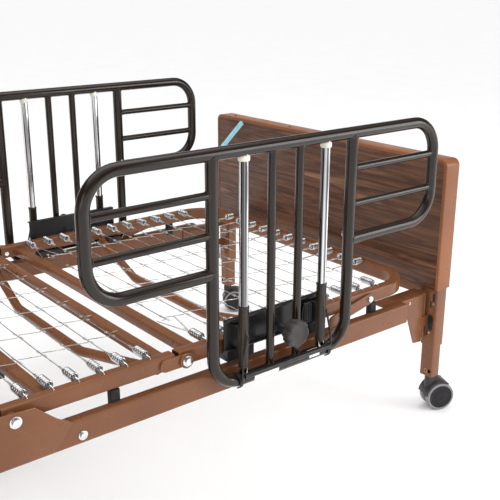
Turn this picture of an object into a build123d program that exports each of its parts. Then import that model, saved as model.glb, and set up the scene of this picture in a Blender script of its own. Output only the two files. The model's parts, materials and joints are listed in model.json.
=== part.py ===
"""Adjustable hospital bed with two half-length side rails, in millimetres.

+X runs towards the foot end, +Y to the occupant's left, +Z up, and the floor is z = 0.
The bed stands at its lowest height with a flat deck and both side rails raised.
"""

import os
from math import cos, radians, sin

from build123d import *

os.makedirs("parts", exist_ok=True)

SIDES = (-1, 1)
ENDS = (-1, 1)

# bed ends
end_outer_x = 1117.5
end_thickness = 50.0
end_half_width = 458.5
panel_bottom = 343.0
panel_top = 678.0
panel_corner = 18.0
band_wall = 1.5
band_lip = 8.0
board_thickness = 2.9
post_x = 1091.0
post_y = 434.95
post_size = (38.0, 43.9)
post_wall = 2.0
post_bottom = 185.0
post_top = 640.0
cross_rail_height = 30.0
hook_slots = ((430, 437, 204, 222), (425, 450, 228, 271), (434, 446, 286, 318))

# telescoping legs
leg_size = (32.8, 38.7)
leg_wall = 2.0
leg_bottom = 97.0
leg_top = 630.0
leg_cross_low = 592.0
leg_cross_high = 628.0
screw_radius = 7.0
socket_depth = 43.0

# casters
caster_y = 438.0
wheel_radius = 38.0
wheel_trail = 24.0
foot_right_swivel = -24.0
foot_left_swivel = -35.0
wheel_gap = 7.0
wheel_outer = 26.0
stem_radius = 5.5
axle_radius = 4.0
hood_inner = 39.5
hood_outer = 42.0

# side rails of the bed frame
rail_end_x = 958.0
rail_joint_x = 66.5
rail_inner_y = 432.0
rail_outer_y = 457.0
rail_low = 285.0
rail_high = 335.0
rail_wall = 2.0

# deck sections
tube_width = 25.0
tube_low = 360.0
tube_high = 392.0
tube_wall = 1.6
tube_y = 424.5
tube_z = (tube_low + tube_high) / 2
deck_end_x = 1010.0
deck_corner = 88.0
hinge_z = 374.0
head_hinge_x = -258.5
thigh_hinge_x = -58.5
knee_hinge_x = 307.5
hinge_clear = 24.0
hinge_lap = 14.0
pin_radius = 6.0
running = 0.05
ear_thickness = 5.0
bow_radius = 11.0
bow_half = 160.0
bow_z = 315.0

# link between the foot section and the side rail
link_low = (715.5, 350.0)
link_high = (833.5, 375.0)
link_y = (440.0, 445.0)
link_radius = 12.5

# wire fabric and its springs
spring_pitch = 51.0
spring_radius = 11.0
spring_inner = 8.5
spring_low_y = 368.0
spring_high_y = 411.5
spring_z = 394.0
wire = 2.6
fabric_z = 391.0
row_places = (54.0, 162.0, 271.0)

# removable half rails
rail_centre_x = 530.5
guard_y = 479.0
guard_tube = 12.7
guard_top = 788.0
guard_half = 451.0
guard_post_x = 184.0
guard_bottom = 313.0
guard_wing_bottom = 555.0
guard_bars = (712.0, 633.0)
bar_radius = 8.0
spindle_x = 36.5
spindle_radius = 8.9
slider_x = 107.5
slider_radius = 9.5
guide_outer = 11.0
guide_low = 339.0
guide_high = 472.0
bracket_half = 135.0
bracket_low = 371.0
bracket_high = 438.0
bracket_y = (447.0, 460.0)
knob_x = 535.0
knob_z = 394.0
knob_radius = 30.0
knob_y = (497.0, 525.0)

# actuators under the deck
head_arm_y = 60.0
head_arm_length = 150.0
head_arm_angle = 35.0
knee_arm_y = -60.0
knee_arm_length = 120.0
knee_arm_angle = 17.5
yoke_slot = 18.5
arm_pin_radius = 6.0
rod_radius = 10.0
barrel_radius = 20.0
hanger_x = -135.0
rear_member_x = -385.0
member_low = 290.0
member_high = 320.0


def save(shape, name):
    """Labels a finished sub-part and writes it as its own STEP file."""
    shape.label = name
    export_step(shape, f"parts/{name}.step")


def block(low_x, high_x, low_y, high_y, low_z, high_z, mode=Mode.ADD):
    """Adds or cuts a box given by its limits, inside the open part; the limits may come in any order."""
    size = (abs(high_x - low_x), abs(high_y - low_y), abs(high_z - low_z))
    centre = ((low_x + high_x) / 2, (low_y + high_y) / 2, (low_z + high_z) / 2)
    with Locations(centre):
        Box(*size, mode=mode)


def rod_y(x, z, start, finish, radius, mode=Mode.ADD):
    """Adds or cuts a round bar along Y between two places."""
    with Locations(Location((x, (start + finish) / 2, z), (90, 0, 0))):
        Cylinder(radius, abs(finish - start), mode=mode)


def rod_x(y, z, start, finish, radius, mode=Mode.ADD):
    """Adds or cuts a round bar along X between two places."""
    with Locations(Location(((start + finish) / 2, y, z), (0, 90, 0))):
        Cylinder(radius, abs(finish - start), mode=mode)


def rod_z(x, y, start, finish, radius, mode=Mode.ADD):
    """Adds or cuts a round bar along Z between two heights."""
    with Locations((x, y, (start + finish) / 2)):
        Cylinder(radius, finish - start, mode=mode)


def tube_x(low_x, high_x, low_y, high_y, low_z, high_z, wall):
    """Adds a rectangular tube along X, open at both ends."""
    block(low_x, high_x, low_y, high_y, low_z, high_z)
    inner_y = sorted((low_y, high_y))
    block(low_x, high_x, inner_y[0] + wall, inner_y[1] - wall, low_z + wall, high_z - wall, Mode.SUBTRACT)


def plate_y(points, start, finish, mode=Mode.ADD):
    """Adds or cuts a flat plate whose outline is given in X and Z, between two places along Y."""
    low, high = sorted((start, finish))
    with BuildSketch(Plane.XZ.offset(-high)) as outline:
        with BuildLine():
            Polyline(*points, close=True)
        make_face()
    extrude(outline.sketch, amount=high - low, mode=mode)


# ---------------------------------------------------------------- side rails
def side_rail(side):
    inner = side * rail_inner_y
    outer = side * rail_outer_y
    with BuildPart() as rail:
        tube_x(-rail_end_x, rail_joint_x - 0.5, inner, outer, rail_low, rail_high, rail_wall)
    with BuildPart() as foot_half:
        tube_x(rail_joint_x + 0.5, rail_end_x, inner, outer, rail_low, rail_high, rail_wall)
    return Compound(children=[rail.part, foot_half.part])


save(side_rail(-1), "right_side_rail")
save(side_rail(1), "left_side_rail")

with BuildPart() as rail_sleeves:
    for side in SIDES:
        tube_x(
            rail_joint_x - 120,
            rail_joint_x + 120,
            side * (rail_inner_y + rail_wall + 0.1),
            side * (rail_outer_y - rail_wall - 0.1),
            rail_low + rail_wall + 0.1,
            rail_high - rail_wall - 0.1,
            rail_wall,
        )
save(rail_sleeves.part, "rail_joint_sleeves")

hook_plate = [
    (905, 291),
    (905, 331),
    (1048, 331),
    (1048, 268),
    (1074.1, 268),
    (1074.1, 248),
    (1069, 240),
    (1049, 240),
    (1051, 200),
    (1022, 203),
    (988, 291),
]
with BuildPart() as corner_hooks:
    for end in ENDS:
        outline = [(end * x, z) for x, z in hook_plate]
        for side in SIDES:
            plate_y(outline, side * (rail_inner_y - 5), side * (rail_inner_y - 0.1))
            block(end * 905, end * 1066, side * 385, side * (rail_inner_y - 5), 327, 331)
            block(end * 1062, end * 1066, side * 390, side * (rail_inner_y - 5), 203, 331)
save(corner_hooks.part, "corner_hooks")

# ---------------------------------------------------------------- bed ends
end_inner_x = end_outer_x - end_thickness


def end_sheet(start, inset, depth, mode=Mode.ADD):
    """Adds or cuts a slab with the bed end's outline, rounded at its two top corners."""
    half = end_half_width - inset
    top = panel_top - inset
    radius = panel_corner - inset
    with BuildSketch(Plane.YZ.offset(start)) as outline:
        with BuildLine():
            Line((-half, panel_bottom), (half, panel_bottom))
            Line((half, panel_bottom), (half, top - radius))
            RadiusArc((half, top - radius), (half - radius, top), -radius)
            Line((half - radius, top), (-half + radius, top))
            RadiusArc((-half + radius, top), (-half, top - radius), -radius)
            Line((-half, top - radius), (-half, panel_bottom))
        make_face()
    extrude(outline.sketch, amount=depth, mode=mode)


def end_band(end, name):
    """A folded steel band round the bed end's edge, with a narrow lip on both faces."""
    start = min(end * end_inner_x, end * end_outer_x)
    with BuildPart() as band:
        end_sheet(start, 0, end_thickness)
        end_sheet(start + band_wall, band_wall, end_thickness - 2 * band_wall, Mode.SUBTRACT)
        window = end_half_width - band_lip
        finish = start + end_thickness
        block(start, finish, -window, window, panel_bottom, panel_top - band_lip, Mode.SUBTRACT)
        for side in SIDES:
            block(
                start + band_wall,
                finish - band_wall,
                side * window,
                side * (end_half_width - band_wall),
                panel_bottom,
                panel_bottom + 2,
                Mode.SUBTRACT,
            )
    save(band.part, name)


def end_boards(end, name):
    """Two wood-grain laminate boards, one on each face of the bed end."""
    with BuildPart() as boards:
        for place in (end_inner_x + band_wall + 0.02, end_outer_x - band_wall - 0.02 - board_thickness):
            start = min(end * place, end * (place + board_thickness))
            end_sheet(start, band_wall + 0.1, board_thickness)
    save(boards.part, name)


def end_posts(end, name):
    """The outer leg posts with hook slots, and the cross rail under the panel that joins them."""
    half_x = post_size[0] / 2
    half_y = post_size[1] / 2
    with BuildPart() as posts:
        for side in SIDES:
            low = side * (post_y - half_y)
            high = side * (post_y + half_y)
            block(end * (post_x - half_x), end * (post_x + half_x), low, high, post_bottom, post_top)
        inner_x = post_x - half_x
        rail_low_z = panel_bottom - cross_rail_height
        block(end * (post_x - 12), end * (post_x + 12), -413, 413, rail_low_z, panel_bottom)
        for side in SIDES:
            low = side * (post_y - half_y + post_wall)
            high = side * (post_y + half_y - post_wall)
            wall_x = half_x - post_wall
            block(
                end * (post_x - wall_x),
                end * (post_x + wall_x),
                low,
                high,
                post_bottom,
                post_top,
                Mode.SUBTRACT,
            )
            block(
                end * (post_x - 13.5),
                end * (post_x + 13.5),
                side * 410,
                side * 416,
                395,
                post_top,
                Mode.SUBTRACT,
            )
            for slot_inner, slot_outer, slot_low, slot_high in hook_slots:
                block(
                    end * (inner_x - 1),
                    end * (inner_x + 3),
                    side * slot_inner,
                    side * slot_outer,
                    slot_low,
                    slot_high,
                    Mode.SUBTRACT,
                )
        rail_inner = 11.0
        block(
            end * (post_x - rail_inner + 1),
            end * (post_x + rail_inner - 1),
            -413,
            413,
            panel_bottom - cross_rail_height + 2,
            panel_bottom - 2,
            Mode.SUBTRACT,
        )
    save(posts.part, name)


def leg_frame(end, name):
    """Two inner legs joined by a cross tube that carries the lift nut."""
    half_x = leg_size[0] / 2
    half_y = leg_size[1] / 2
    with BuildPart() as legs:
        for side in SIDES:
            low = side * (post_y - half_y)
            high = side * (post_y + half_y)
            block(end * (post_x - half_x), end * (post_x + half_x), low, high, leg_bottom, leg_top)
            low = side * (post_y - half_y + leg_wall)
            high = side * (post_y + half_y - leg_wall)
            wall_x = half_x - leg_wall
            block(
                end * (post_x - wall_x),
                end * (post_x + wall_x),
                low,
                high,
                leg_bottom + socket_depth,
                leg_top,
                Mode.SUBTRACT,
            )
            socket = (leg_bottom - 1, leg_bottom + 42, stem_radius + running)
            rod_z(end * post_x, side * caster_y, *socket, Mode.SUBTRACT)
        inner = post_y - half_y + 0.5
        block(end * (post_x - 12), end * (post_x + 12), -inner, inner, leg_cross_low, leg_cross_high)
        for side in SIDES:
            block(
                end * (post_x - 10),
                end * (post_x + 10),
                side * 22,
                side * inner,
                leg_cross_low + 2,
                leg_cross_high - 2,
                Mode.SUBTRACT,
            )
        rod_z(end * post_x, 0, leg_cross_low - 1, leg_cross_high + 1, screw_radius + running, Mode.SUBTRACT)
    save(legs.part, name)


def lift_screw(end, name):
    """The vertical screw that the lift nut climbs, with its flanged lower end."""
    with BuildPart() as screw:
        rod_z(end * post_x, 0, 402, 655, screw_radius)
        rod_z(end * post_x, 0, 396.5, 402, 12)
    save(screw.part, name)


for end, word in ((1, "foot"), (-1, "head")):
    end_band(end, f"{word}_end_band")
    end_boards(end, f"{word}_end_boards")
    end_posts(end, f"{word}_end_posts")
    leg_frame(end, f"{word}_leg_frame")
    lift_screw(end, f"{word}_lift_screw")

with BuildPart() as lift_gearmotors:
    for end in ENDS:
        block(end * (post_x - 18), end * (post_x + 18), -38, 38, panel_bottom, 396)
        rod_y(end * post_x, 370, 38, 150, 17)
save(lift_gearmotors.part, "lift_gearmotors")

# ---------------------------------------------------------------- casters
hood_start = 12
hood_sweep = 156


def caster(end, side, swivel, fork_name, wheel_name):
    """A hooded twin-wheel caster that trails away from the bed and stands swivelled by some degrees."""
    centre_x = end * (post_x + wheel_trail)
    centre_y = side * caster_y
    with BuildPart() as fork:
        with BuildSketch(Plane.XZ.offset(-centre_y - wheel_outer)) as hood:
            with BuildLine():
                low_arc = CenterArc((centre_x, wheel_radius), hood_inner, hood_start, hood_sweep)
                high_arc = CenterArc((centre_x, wheel_radius), hood_outer, hood_start, hood_sweep)
                Line(low_arc @ 0, high_arc @ 0)
                Line(low_arc @ 1, high_arc @ 1)
            make_face()
        extrude(hood.sketch, amount=2 * wheel_outer)
        rod_y(centre_x, wheel_radius, centre_y - 5.5, centre_y + 5.5, 34)
        block(centre_x - 30, centre_x + 30, centre_y - 5.5, centre_y + 5.5, 50, 78)
        rod_y(centre_x, wheel_radius, centre_y - 24, centre_y + 24, axle_radius)
        rod_z(end * post_x, centre_y, 76, leg_bottom - 0.4, 13)
        rod_z(end * post_x, centre_y, 76, leg_bottom + 40, stem_radius)
        block(end * (post_x - 12), centre_x, centre_y - 5.5, centre_y + 5.5, 58, 80)
    stem_axis = Axis((end * post_x, side * caster_y, 0), (0, 0, 1))
    save(fork.part.rotate(stem_axis, swivel), fork_name)
    with BuildPart() as wheel:
        for way in SIDES:
            inner = centre_y + way * wheel_gap
            outer = centre_y + way * wheel_outer
            rod_y(centre_x, wheel_radius, inner, outer, wheel_radius)
            rod_y(
                centre_x,
                wheel_radius,
                centre_y + way * (wheel_gap - 1),
                centre_y + way * 24.2,
                axle_radius + running,
                Mode.SUBTRACT,
            )
            rod_y(centre_x, wheel_radius, outer - way * 1.5, outer + way, 31, Mode.SUBTRACT)
    save(wheel.part.rotate(stem_axis, swivel), wheel_name)


for end, end_word in ((1, "foot"), (-1, "head")):
    for side, side_word in ((1, "left"), (-1, "right")):
        swivel = foot_left_swivel if end * side > 0 else foot_right_swivel
        place = f"{end_word}_{side_word}"
        caster(end, side, swivel, f"{place}_caster_fork", f"{place}_caster_wheel")

# ---------------------------------------------------------------- deck sections


def deck_tube(low_x, high_x, side):
    """Adds one straight rectangular side tube of a deck section."""
    low_y = side * (tube_y - tube_width / 2)
    high_y = side * (tube_y + tube_width / 2)
    tube_x(low_x, high_x, low_y, high_y, tube_low, tube_high, tube_wall)


def cross_tube(x, width=25.0, low=360.5, high=382.5):
    """Adds a rectangular cross tube between the two side tubes of a deck section."""
    inner = tube_y - tube_width / 2 + 0.4
    block(x - width / 2, x + width / 2, -inner, inner, low, high)
    block(x - width / 2 + 2, x + width / 2 - 2, -inner + 1, inner - 1, low + 2, high - 2, Mode.SUBTRACT)


def end_hoop(end, start_x):
    """Adds the U-shaped tube that closes a deck section at the bed's end."""
    last = deck_end_x - tube_width / 2
    points = [(start_x, -tube_y), (end * last, -tube_y), (end * last, tube_y), (start_x, tube_y)]
    for size, mode in (((tube_width, tube_high - tube_low), Mode.ADD), ((21.8, 28.8), Mode.SUBTRACT)):
        with BuildLine(Plane.XY.offset(tube_z)) as route:
            FilletPolyline(*points, radius=deck_corner)
        across = Plane(origin=(start_x, -tube_y, tube_z), x_dir=(0, 1, 0), z_dir=(end, 0, 0))
        with BuildSketch(across) as section:
            Rectangle(*size)
        sweep(section.sketch, path=route.line, mode=mode)


def ear(x_from, x_pivot, side, inner, outer):
    """Adds a hinge ear with a rounded end about its pivot."""
    block(min(x_from, x_pivot), max(x_from, x_pivot), side * inner, side * outer, hinge_z - 13, hinge_z + 13)
    rod_y(x_pivot, hinge_z, side * inner, side * outer, 13)


def bow(x, reach):
    """Adds a low round tube that hangs under a deck section and rises to its side tubes."""
    side_end = tube_y - tube_width / 2 - 5
    rise = tube_low - 6
    points = [
        (x + reach, -side_end, rise),
        (x, -bow_half, bow_z),
        (x, bow_half, bow_z),
        (x + reach, side_end, rise),
    ]
    for start, finish in zip(points, points[1:]):
        run = Vector(finish) - Vector(start)
        with BuildSketch(Plane(origin=start, z_dir=run)) as section:
            Circle(bow_radius)
        extrude(section.sketch, amount=run.length)
        with Locations(start, finish):
            Sphere(bow_radius)


with BuildPart() as head_frame:
    end_hoop(-1, head_hinge_x - hinge_clear)
    cross_tube(-300)
    cross_tube(-640)
    for side in SIDES:
        ear(head_hinge_x - 70, head_hinge_x, side, 406, 411.7)
        block(-328.5, -290, side * 411.7, side * 412.2, hinge_z - 9, hinge_z + 9)
        rod_y(head_hinge_x, hinge_z, side * 400, side * 415, pin_radius + running, Mode.SUBTRACT)
save(head_frame.part, "head_frame")

with BuildPart() as seat_frame:
    for side in SIDES:
        deck_tube(head_hinge_x - hinge_lap, thigh_hinge_x - hinge_clear, side)
        rod_y(head_hinge_x, hinge_z, side * 400, side * 440, pin_radius, Mode.SUBTRACT)
        block(-200, -110, side * (rail_inner_y + 0.1), side * (rail_outer_y - 5), rail_high, 345)
        block(-200, -110, side * 425, side * (rail_outer_y - 5), 345, tube_low)
    cross_tube(-212)
    cross_tube(-100)
save(seat_frame.part, "seat_frame")

with BuildPart() as thigh_frame:
    for side in SIDES:
        deck_tube(thigh_hinge_x - hinge_lap, knee_hinge_x - hinge_clear, side)
        rod_y(thigh_hinge_x, hinge_z, side * 400, side * 440, pin_radius + running, Mode.SUBTRACT)
        ear(knee_hinge_x - 60, knee_hinge_x, side, 437, 442)
        rod_y(knee_hinge_x, hinge_z, side * 442, side * 447, 16)
        rod_y(knee_hinge_x, hinge_z, side * 430, side * 450, pin_radius, Mode.SUBTRACT)
    cross_tube(21.5)
    cross_tube(268)
    bow(222, 40)
save(thigh_frame.part, "thigh_frame")

with BuildPart() as foot_frame:
    end_hoop(1, knee_hinge_x - hinge_lap)
    cross_tube(345)
    bow(560, 40)
    for side in SIDES:
        rod_y(knee_hinge_x, hinge_z, side * 400, side * 438, pin_radius + running, Mode.SUBTRACT)
        rod_y(link_high[0], link_high[1], side * (tube_y + tube_width / 2), side * 439.4, 9)
save(foot_frame.part, "foot_frame")

# ---------------------------------------------------------------- pivots on the side rails
thigh_gusset = [(-95, 290), (-95, 393), (-22, 389), (18, 354), (48, 335), (8, 290)]
head_gusset = [(-300, 290), (-284, 386), (-246, 392), (-212, 380), (-190, 335), (-190, 290)]
with BuildPart() as pivot_gussets:
    for side in SIDES:
        for outline, pivot in ((thigh_gusset, thigh_hinge_x), (head_gusset, head_hinge_x)):
            plate_y(outline, side * (rail_outer_y + 0.05), side * (rail_outer_y + 3.05))
            rod_y(pivot, hinge_z, side * (tube_y + tube_width / 2 + 0.4), side * (rail_outer_y + 0.05), 11)
            rod_y(pivot, hinge_z, side * 430, side * 465, pin_radius, Mode.SUBTRACT)
save(pivot_gussets.part, "pivot_gussets")

with BuildPart() as link_brackets:
    for side in SIDES:
        x, z = link_low
        block(x - 18, x + 18, side * 445.3, side * 449.3, rail_high, z)
        rod_y(x, z, side * 445.3, side * 449.3, 14)
        block(x - 18, x + 18, side * 445.3, side * 456, rail_high, rail_high + 4)
        rod_y(x, z, side * 437.5, side * 448, 5)
save(link_brackets.part, "link_brackets")

with BuildPart() as foot_links:
    for side in SIDES:
        angle = Vector(link_high[0] - link_low[0], 0, link_high[1] - link_low[1])
        across = Vector(-angle.Z, 0, angle.X).normalized() * link_radius
        corners = [
            (link_low[0] + across.X, link_low[1] + across.Z),
            (link_high[0] + across.X, link_high[1] + across.Z),
            (link_high[0] - across.X, link_high[1] - across.Z),
            (link_low[0] - across.X, link_low[1] - across.Z),
        ]
        plate_y(corners, side * link_y[0], side * link_y[1])
        rod_y(link_low[0], link_low[1], side * link_y[0], side * link_y[1], link_radius)
        rod_y(link_high[0], link_high[1], side * link_y[0], side * link_y[1], link_radius)
        rod_y(link_low[0], link_low[1], side * 430, side * 450, 5 + running, Mode.SUBTRACT)
        rod_y(link_high[0], link_high[1], side * link_y[1], side * (link_y[1] + 5), 8)
save(foot_links.part, "foot_links")

with BuildPart() as deck_bumpers:
    for x in (147.5, 853.0, -560.0):
        for side in SIDES:
            block(x - 10, x + 10, side * 424, side * 439, rail_high, tube_low - 0.4)
            block(x - 10, x + 10, side * 424, side * (rail_inner_y - 0.1), rail_high - 14, rail_high)
save(deck_bumpers.part, "deck_bumpers")


def hex_bolt(x, z, side, start, head, shank):
    """Adds a hexagon-head bolt along Y: its shank from start to head, then the head."""
    rod_y(x, z, side * start, side * head, shank)
    with BuildSketch(Plane(origin=(x, side * head, z), x_dir=(1, 0, 0), z_dir=(0, side, 0))) as outline:
        RegularPolygon(9.5, 6)
    extrude(outline.sketch, amount=5.5)


bolt_seat = rail_outer_y + 3.05
with BuildPart() as frame_bolts:
    for side in SIDES:
        hex_bolt(thigh_hinge_x, hinge_z, side, 412.5, bolt_seat, pin_radius)
        hex_bolt(head_hinge_x, hinge_z, side, 402, bolt_seat, pin_radius)
        with Locations(Location((rail_joint_x, side * (rail_outer_y + 2), 302), (90, 0, 0))):
            Cylinder(8, 3.8)
save(frame_bolts.part, "frame_bolts")

with BuildPart() as knee_hinge_bolts:
    for side in SIDES:
        hex_bolt(knee_hinge_x, hinge_z, side, 408, 447, pin_radius)
save(knee_hinge_bolts.part, "knee_hinge_bolts")

# ---------------------------------------------------------------- wire fabric and springs


def fabric(low_x, high_x, strands, name):
    """Welded-looking wire fabric: cross strands with long rows."""
    half = wire / 2
    reach = spring_low_y - 0.2
    with BuildPart() as net:
        for x in strands:
            block(x - half, x + half, -reach, reach, fabric_z - half, fabric_z + half)
        for y in row_places:
            for side in SIDES:
                block(low_x, high_x, side * y - half, side * y + half, fabric_z - half, fabric_z + half)
    save(net.part, name)


def springs(places, name, end_x=None):
    """Helical springs as hollow sleeves, each with a hook over the frame."""
    with BuildPart() as group:
        for x in places:
            for side in SIDES:
                rod_y(x, spring_z, side * spring_low_y, side * spring_high_y, spring_radius)
                rod_y(x, spring_z, side * (spring_low_y - 1), side * 408, spring_inner, Mode.SUBTRACT)
                rod_y(x, spring_z, side * 408, side * 428, 1.5)
        if end_x is not None:
            way = 1 if end_x > 0 else -1
            for y in range(-270, 271, 54):
                rod_x(y, spring_z, end_x - way * 57, end_x - way * 26, spring_radius)
                rod_x(y, spring_z, end_x - way * 58, end_x - way * 30, spring_inner, Mode.SUBTRACT)
                rod_x(y, spring_z, end_x - way * 30, end_x - way * 10, 1.5)
    save(group.part, name)


head_places = [-345.0 - spring_pitch * index for index in range(11)]
seat_places = [-71.5 - spring_pitch * (index + 0.5) for index in range(3)]
thigh_places = [-20.5 + spring_pitch * index for index in range(6)]
foot_places = [370.0 + spring_pitch * index for index in range(11)]
fabric(-951, -287, head_places, "head_wire_fabric")
fabric(-232, -86, seat_places, "seat_wire_fabric")
fabric(-44, 256, thigh_places, "thigh_wire_fabric")
fabric(360, 951, foot_places, "foot_wire_fabric")
springs(head_places, "head_springs", -deck_end_x)
springs(seat_places, "seat_springs")
springs(thigh_places, "thigh_springs")
springs(foot_places, "foot_springs", deck_end_x)

# ---------------------------------------------------------------- half rails
guard_drop_corner = 66.0


def guard_frame(side, name):
    """The welded round-tube frame of one half rail, with its bars and spindles."""
    y = side * guard_y
    left = rail_centre_x - guard_half
    right = rail_centre_x + guard_half
    low_left = rail_centre_x - guard_post_x
    low_right = rail_centre_x + guard_post_x
    with BuildPart() as frame:
        with BuildLine() as loop:
            FilletPolyline(
                (low_left, y, guard_wing_bottom),
                (left, y, guard_wing_bottom),
                (left, y, guard_top),
                (right, y, guard_top),
                (right, y, guard_wing_bottom),
                (low_right, y, guard_wing_bottom),
                radius=70,
            )
        with BuildSketch(Plane(origin=(low_left, y, guard_wing_bottom), z_dir=(-1, 0, 0))) as section:
            Circle(guard_tube)
        sweep(section.sketch, path=loop.line)
        with BuildLine() as drop:
            FilletPolyline(
                (low_left, y, guard_top),
                (low_left, y, guard_bottom),
                (low_right, y, guard_bottom),
                (low_right, y, guard_top),
                radius=guard_drop_corner,
            )
        with BuildSketch(Plane(origin=(low_left, y, guard_top), z_dir=(0, 0, -1))) as section:
            Circle(guard_tube)
        sweep(section.sketch, path=drop.line)
        for z in guard_bars:
            rod_x(y, z, left, low_left, bar_radius)
            rod_x(y, z, low_right, right, bar_radius)
        for way in SIDES:
            rod_z(rail_centre_x + way * spindle_x, y, guard_bottom, guard_top, spindle_radius)
    with BuildPart() as trimmed:
        add(frame.part)
        for way in SIDES:
            x = rail_centre_x + way * slider_x
            rod_z(x, y, guard_bottom, guard_top, slider_radius, Mode.SUBTRACT)
    save(trimmed.part, name)


def guard_posts(side, name):
    """The two bright sliding posts of one half rail."""
    with BuildPart() as posts:
        for way in SIDES:
            x = rail_centre_x + way * slider_x
            rod_z(x, side * guard_y, guard_bottom + 0.2, guard_top - 0.2, slider_radius - 0.02)
    save(posts.part, name)


def release_bail(side, name):
    """The release: a grip rod between two clips round the bottom tube, and two latch wires."""
    y = side * guard_y
    with BuildPart() as bail:
        for way in SIDES:
            x = rail_centre_x + way * 123.5
            rod_x(y, guard_bottom, x - 4.5, x + 4.5, 17)
            rod_x(y, guard_bottom, x - 5.5, x + 5.5, 14, Mode.SUBTRACT)
            block(x - 6, x + 6, y, y - side * 18, guard_bottom - 18, guard_bottom + 18, Mode.SUBTRACT)
            block(x - 4.5, x + 4.5, y + side * 13.8, y + side * 22, guard_bottom, guard_bottom + 17)
            rod_z(x, y + side * 18, guard_bottom + 10, 415, 1.8)
        rod_x(y + side * 19, guard_bottom + 14, rail_centre_x - 123, rail_centre_x + 123, 5.5)
    save(bail.part, name)


def knob(side, name):
    """A lobed hand knob on its clamp screw."""
    with BuildPart() as star:
        rod_y(knob_x, knob_z, side * knob_y[0], side * knob_y[1], knob_radius - 3)
        for index in range(8):
            angle = radians(45 * index)
            x = knob_x + (knob_radius - 7) * cos(angle)
            z = knob_z + (knob_radius - 7) * sin(angle)
            rod_y(x, z, side * knob_y[0], side * (knob_y[1] - 3), 7)
        rod_y(knob_x, knob_z, side * 453, side * knob_y[0], 5)
    save(star.part, name)


for side, word in ((1, "left"), (-1, "right")):
    guard_frame(side, f"{word}_guard_frame")
    guard_posts(side, f"{word}_guard_posts")
    release_bail(side, f"{word}_release_bail")
    knob(side, f"{word}_clamp_knob")

with BuildPart() as guard_brackets:
    low_x = rail_centre_x - bracket_half
    high_x = rail_centre_x + bracket_half
    for side in SIDES:
        inner, outer = bracket_y
        block(low_x, high_x, side * inner, side * (inner + 3), bracket_low, bracket_high)
        block(low_x, high_x, side * inner, side * outer, bracket_low, bracket_low + 3)
        block(low_x, high_x, side * inner, side * outer, bracket_high - 3, bracket_high)
        block(low_x + 20, high_x - 20, side * (tube_y + tube_width / 2), side * inner, 376, 391)
        block(low_x + 5, low_x + 75, side * 438, side * 455, 346, bracket_low)
        block(low_x + 5, low_x + 75, side * 404, side * 438, 346, 359)
        block(high_x - 45, high_x - 5, side * 438, side * 455, 346, bracket_low)
        block(high_x - 45, high_x - 5, side * 404, side * 438, 346, 359)
        for way in SIDES:
            x = rail_centre_x + way * slider_x
            block(x - 12, x + 12, side * (inner + 3), side * (guard_y - 2), 382, 428)
            rod_z(x, side * guard_y, 380, 430, guide_outer, Mode.SUBTRACT)
save(guard_brackets.part, "guard_brackets")

with BuildPart() as guide_tubes:
    for side in SIDES:
        for way in SIDES:
            x = rail_centre_x + way * slider_x
            rod_z(x, side * guard_y, guide_low, guide_high, guide_outer)
            rod_z(x, side * guard_y, guide_low - 1, guide_high + 1, slider_radius + 0.08, Mode.SUBTRACT)
save(guide_tubes.part, "guide_tubes")

with BuildPart() as latch_blocks:
    for side in SIDES:
        block(601, 622, side * 460.2, side * 468, 380, 428)
        for index in range(4):
            block(601 + 5.5 * index, 603.5 + 5.5 * index, side * 468, side * 469.5, 380, 428)
save(latch_blocks.part, "latch_blocks")

# ---------------------------------------------------------------- actuators
head_pin_x = head_hinge_x + head_arm_length * sin(radians(head_arm_angle))
head_pin_z = hinge_z - head_arm_length * cos(radians(head_arm_angle))
knee_pin_x = thigh_hinge_x - knee_arm_length * sin(radians(knee_arm_angle))
knee_pin_z = hinge_z - knee_arm_length * cos(radians(knee_arm_angle))
head_rod_z = hinge_z - head_arm_length * (1 + cos(radians(head_arm_angle))) / 2
knee_rod_z = hinge_z - knee_arm_length * (1 + cos(radians(knee_arm_angle))) / 2


def lift_arm(root_x, pin_x, pin_z, y, name):
    """A pair of plates from a cross tube down to the pin that the yoke pushes."""
    with BuildPart() as arm:
        for way in SIDES:
            inner = y + way * 12
            outer = y + way * 17
            plate_y(
                [(root_x - 12, 360.5), (root_x + 12, 360.5), (pin_x + 11, pin_z), (pin_x - 11, pin_z)],
                inner,
                outer,
            )
            rod_y(pin_x, pin_z, inner, outer, 11)
        rod_y(pin_x, pin_z, y - 14, y + 14, arm_pin_radius)
    save(arm.part, name)


def actuator_rod(pin_x, rod_z_level, y, way, length, name):
    """A push rod with a slotted yoke; way is the direction in which it pushes out."""
    with BuildPart() as rod:
        block(pin_x - 17, pin_x + 17, y - 11, y + 11, rod_z_level - 34, rod_z_level + 34)
        block(
            pin_x - yoke_slot / 2,
            pin_x + yoke_slot / 2,
            y - 12,
            y + 12,
            rod_z_level - 26,
            rod_z_level + 26,
            Mode.SUBTRACT,
        )
        rod_x(y, rod_z_level, pin_x - way * 16, pin_x - way * (16 + length), rod_radius)
    save(rod.part, name)


def actuator(front_x, level, y, way, length, motor_side, name):
    """An actuator's barrel, gearbox and motor; way is the direction in which its rod comes out."""
    rear = front_x - way * length
    with BuildPart() as body:
        rod_x(y, level, front_x, rear, barrel_radius)
        block(rear, rear - way * 36, y - motor_side * 30, y + motor_side * 82, level - 30, level + 30)
        rod_x(y + motor_side * 52, level, rear, rear + way * 110, 25)
        rod_x(y, level, front_x + way, rear, rod_radius + running, Mode.SUBTRACT)
    save(body.part, name)


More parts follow.
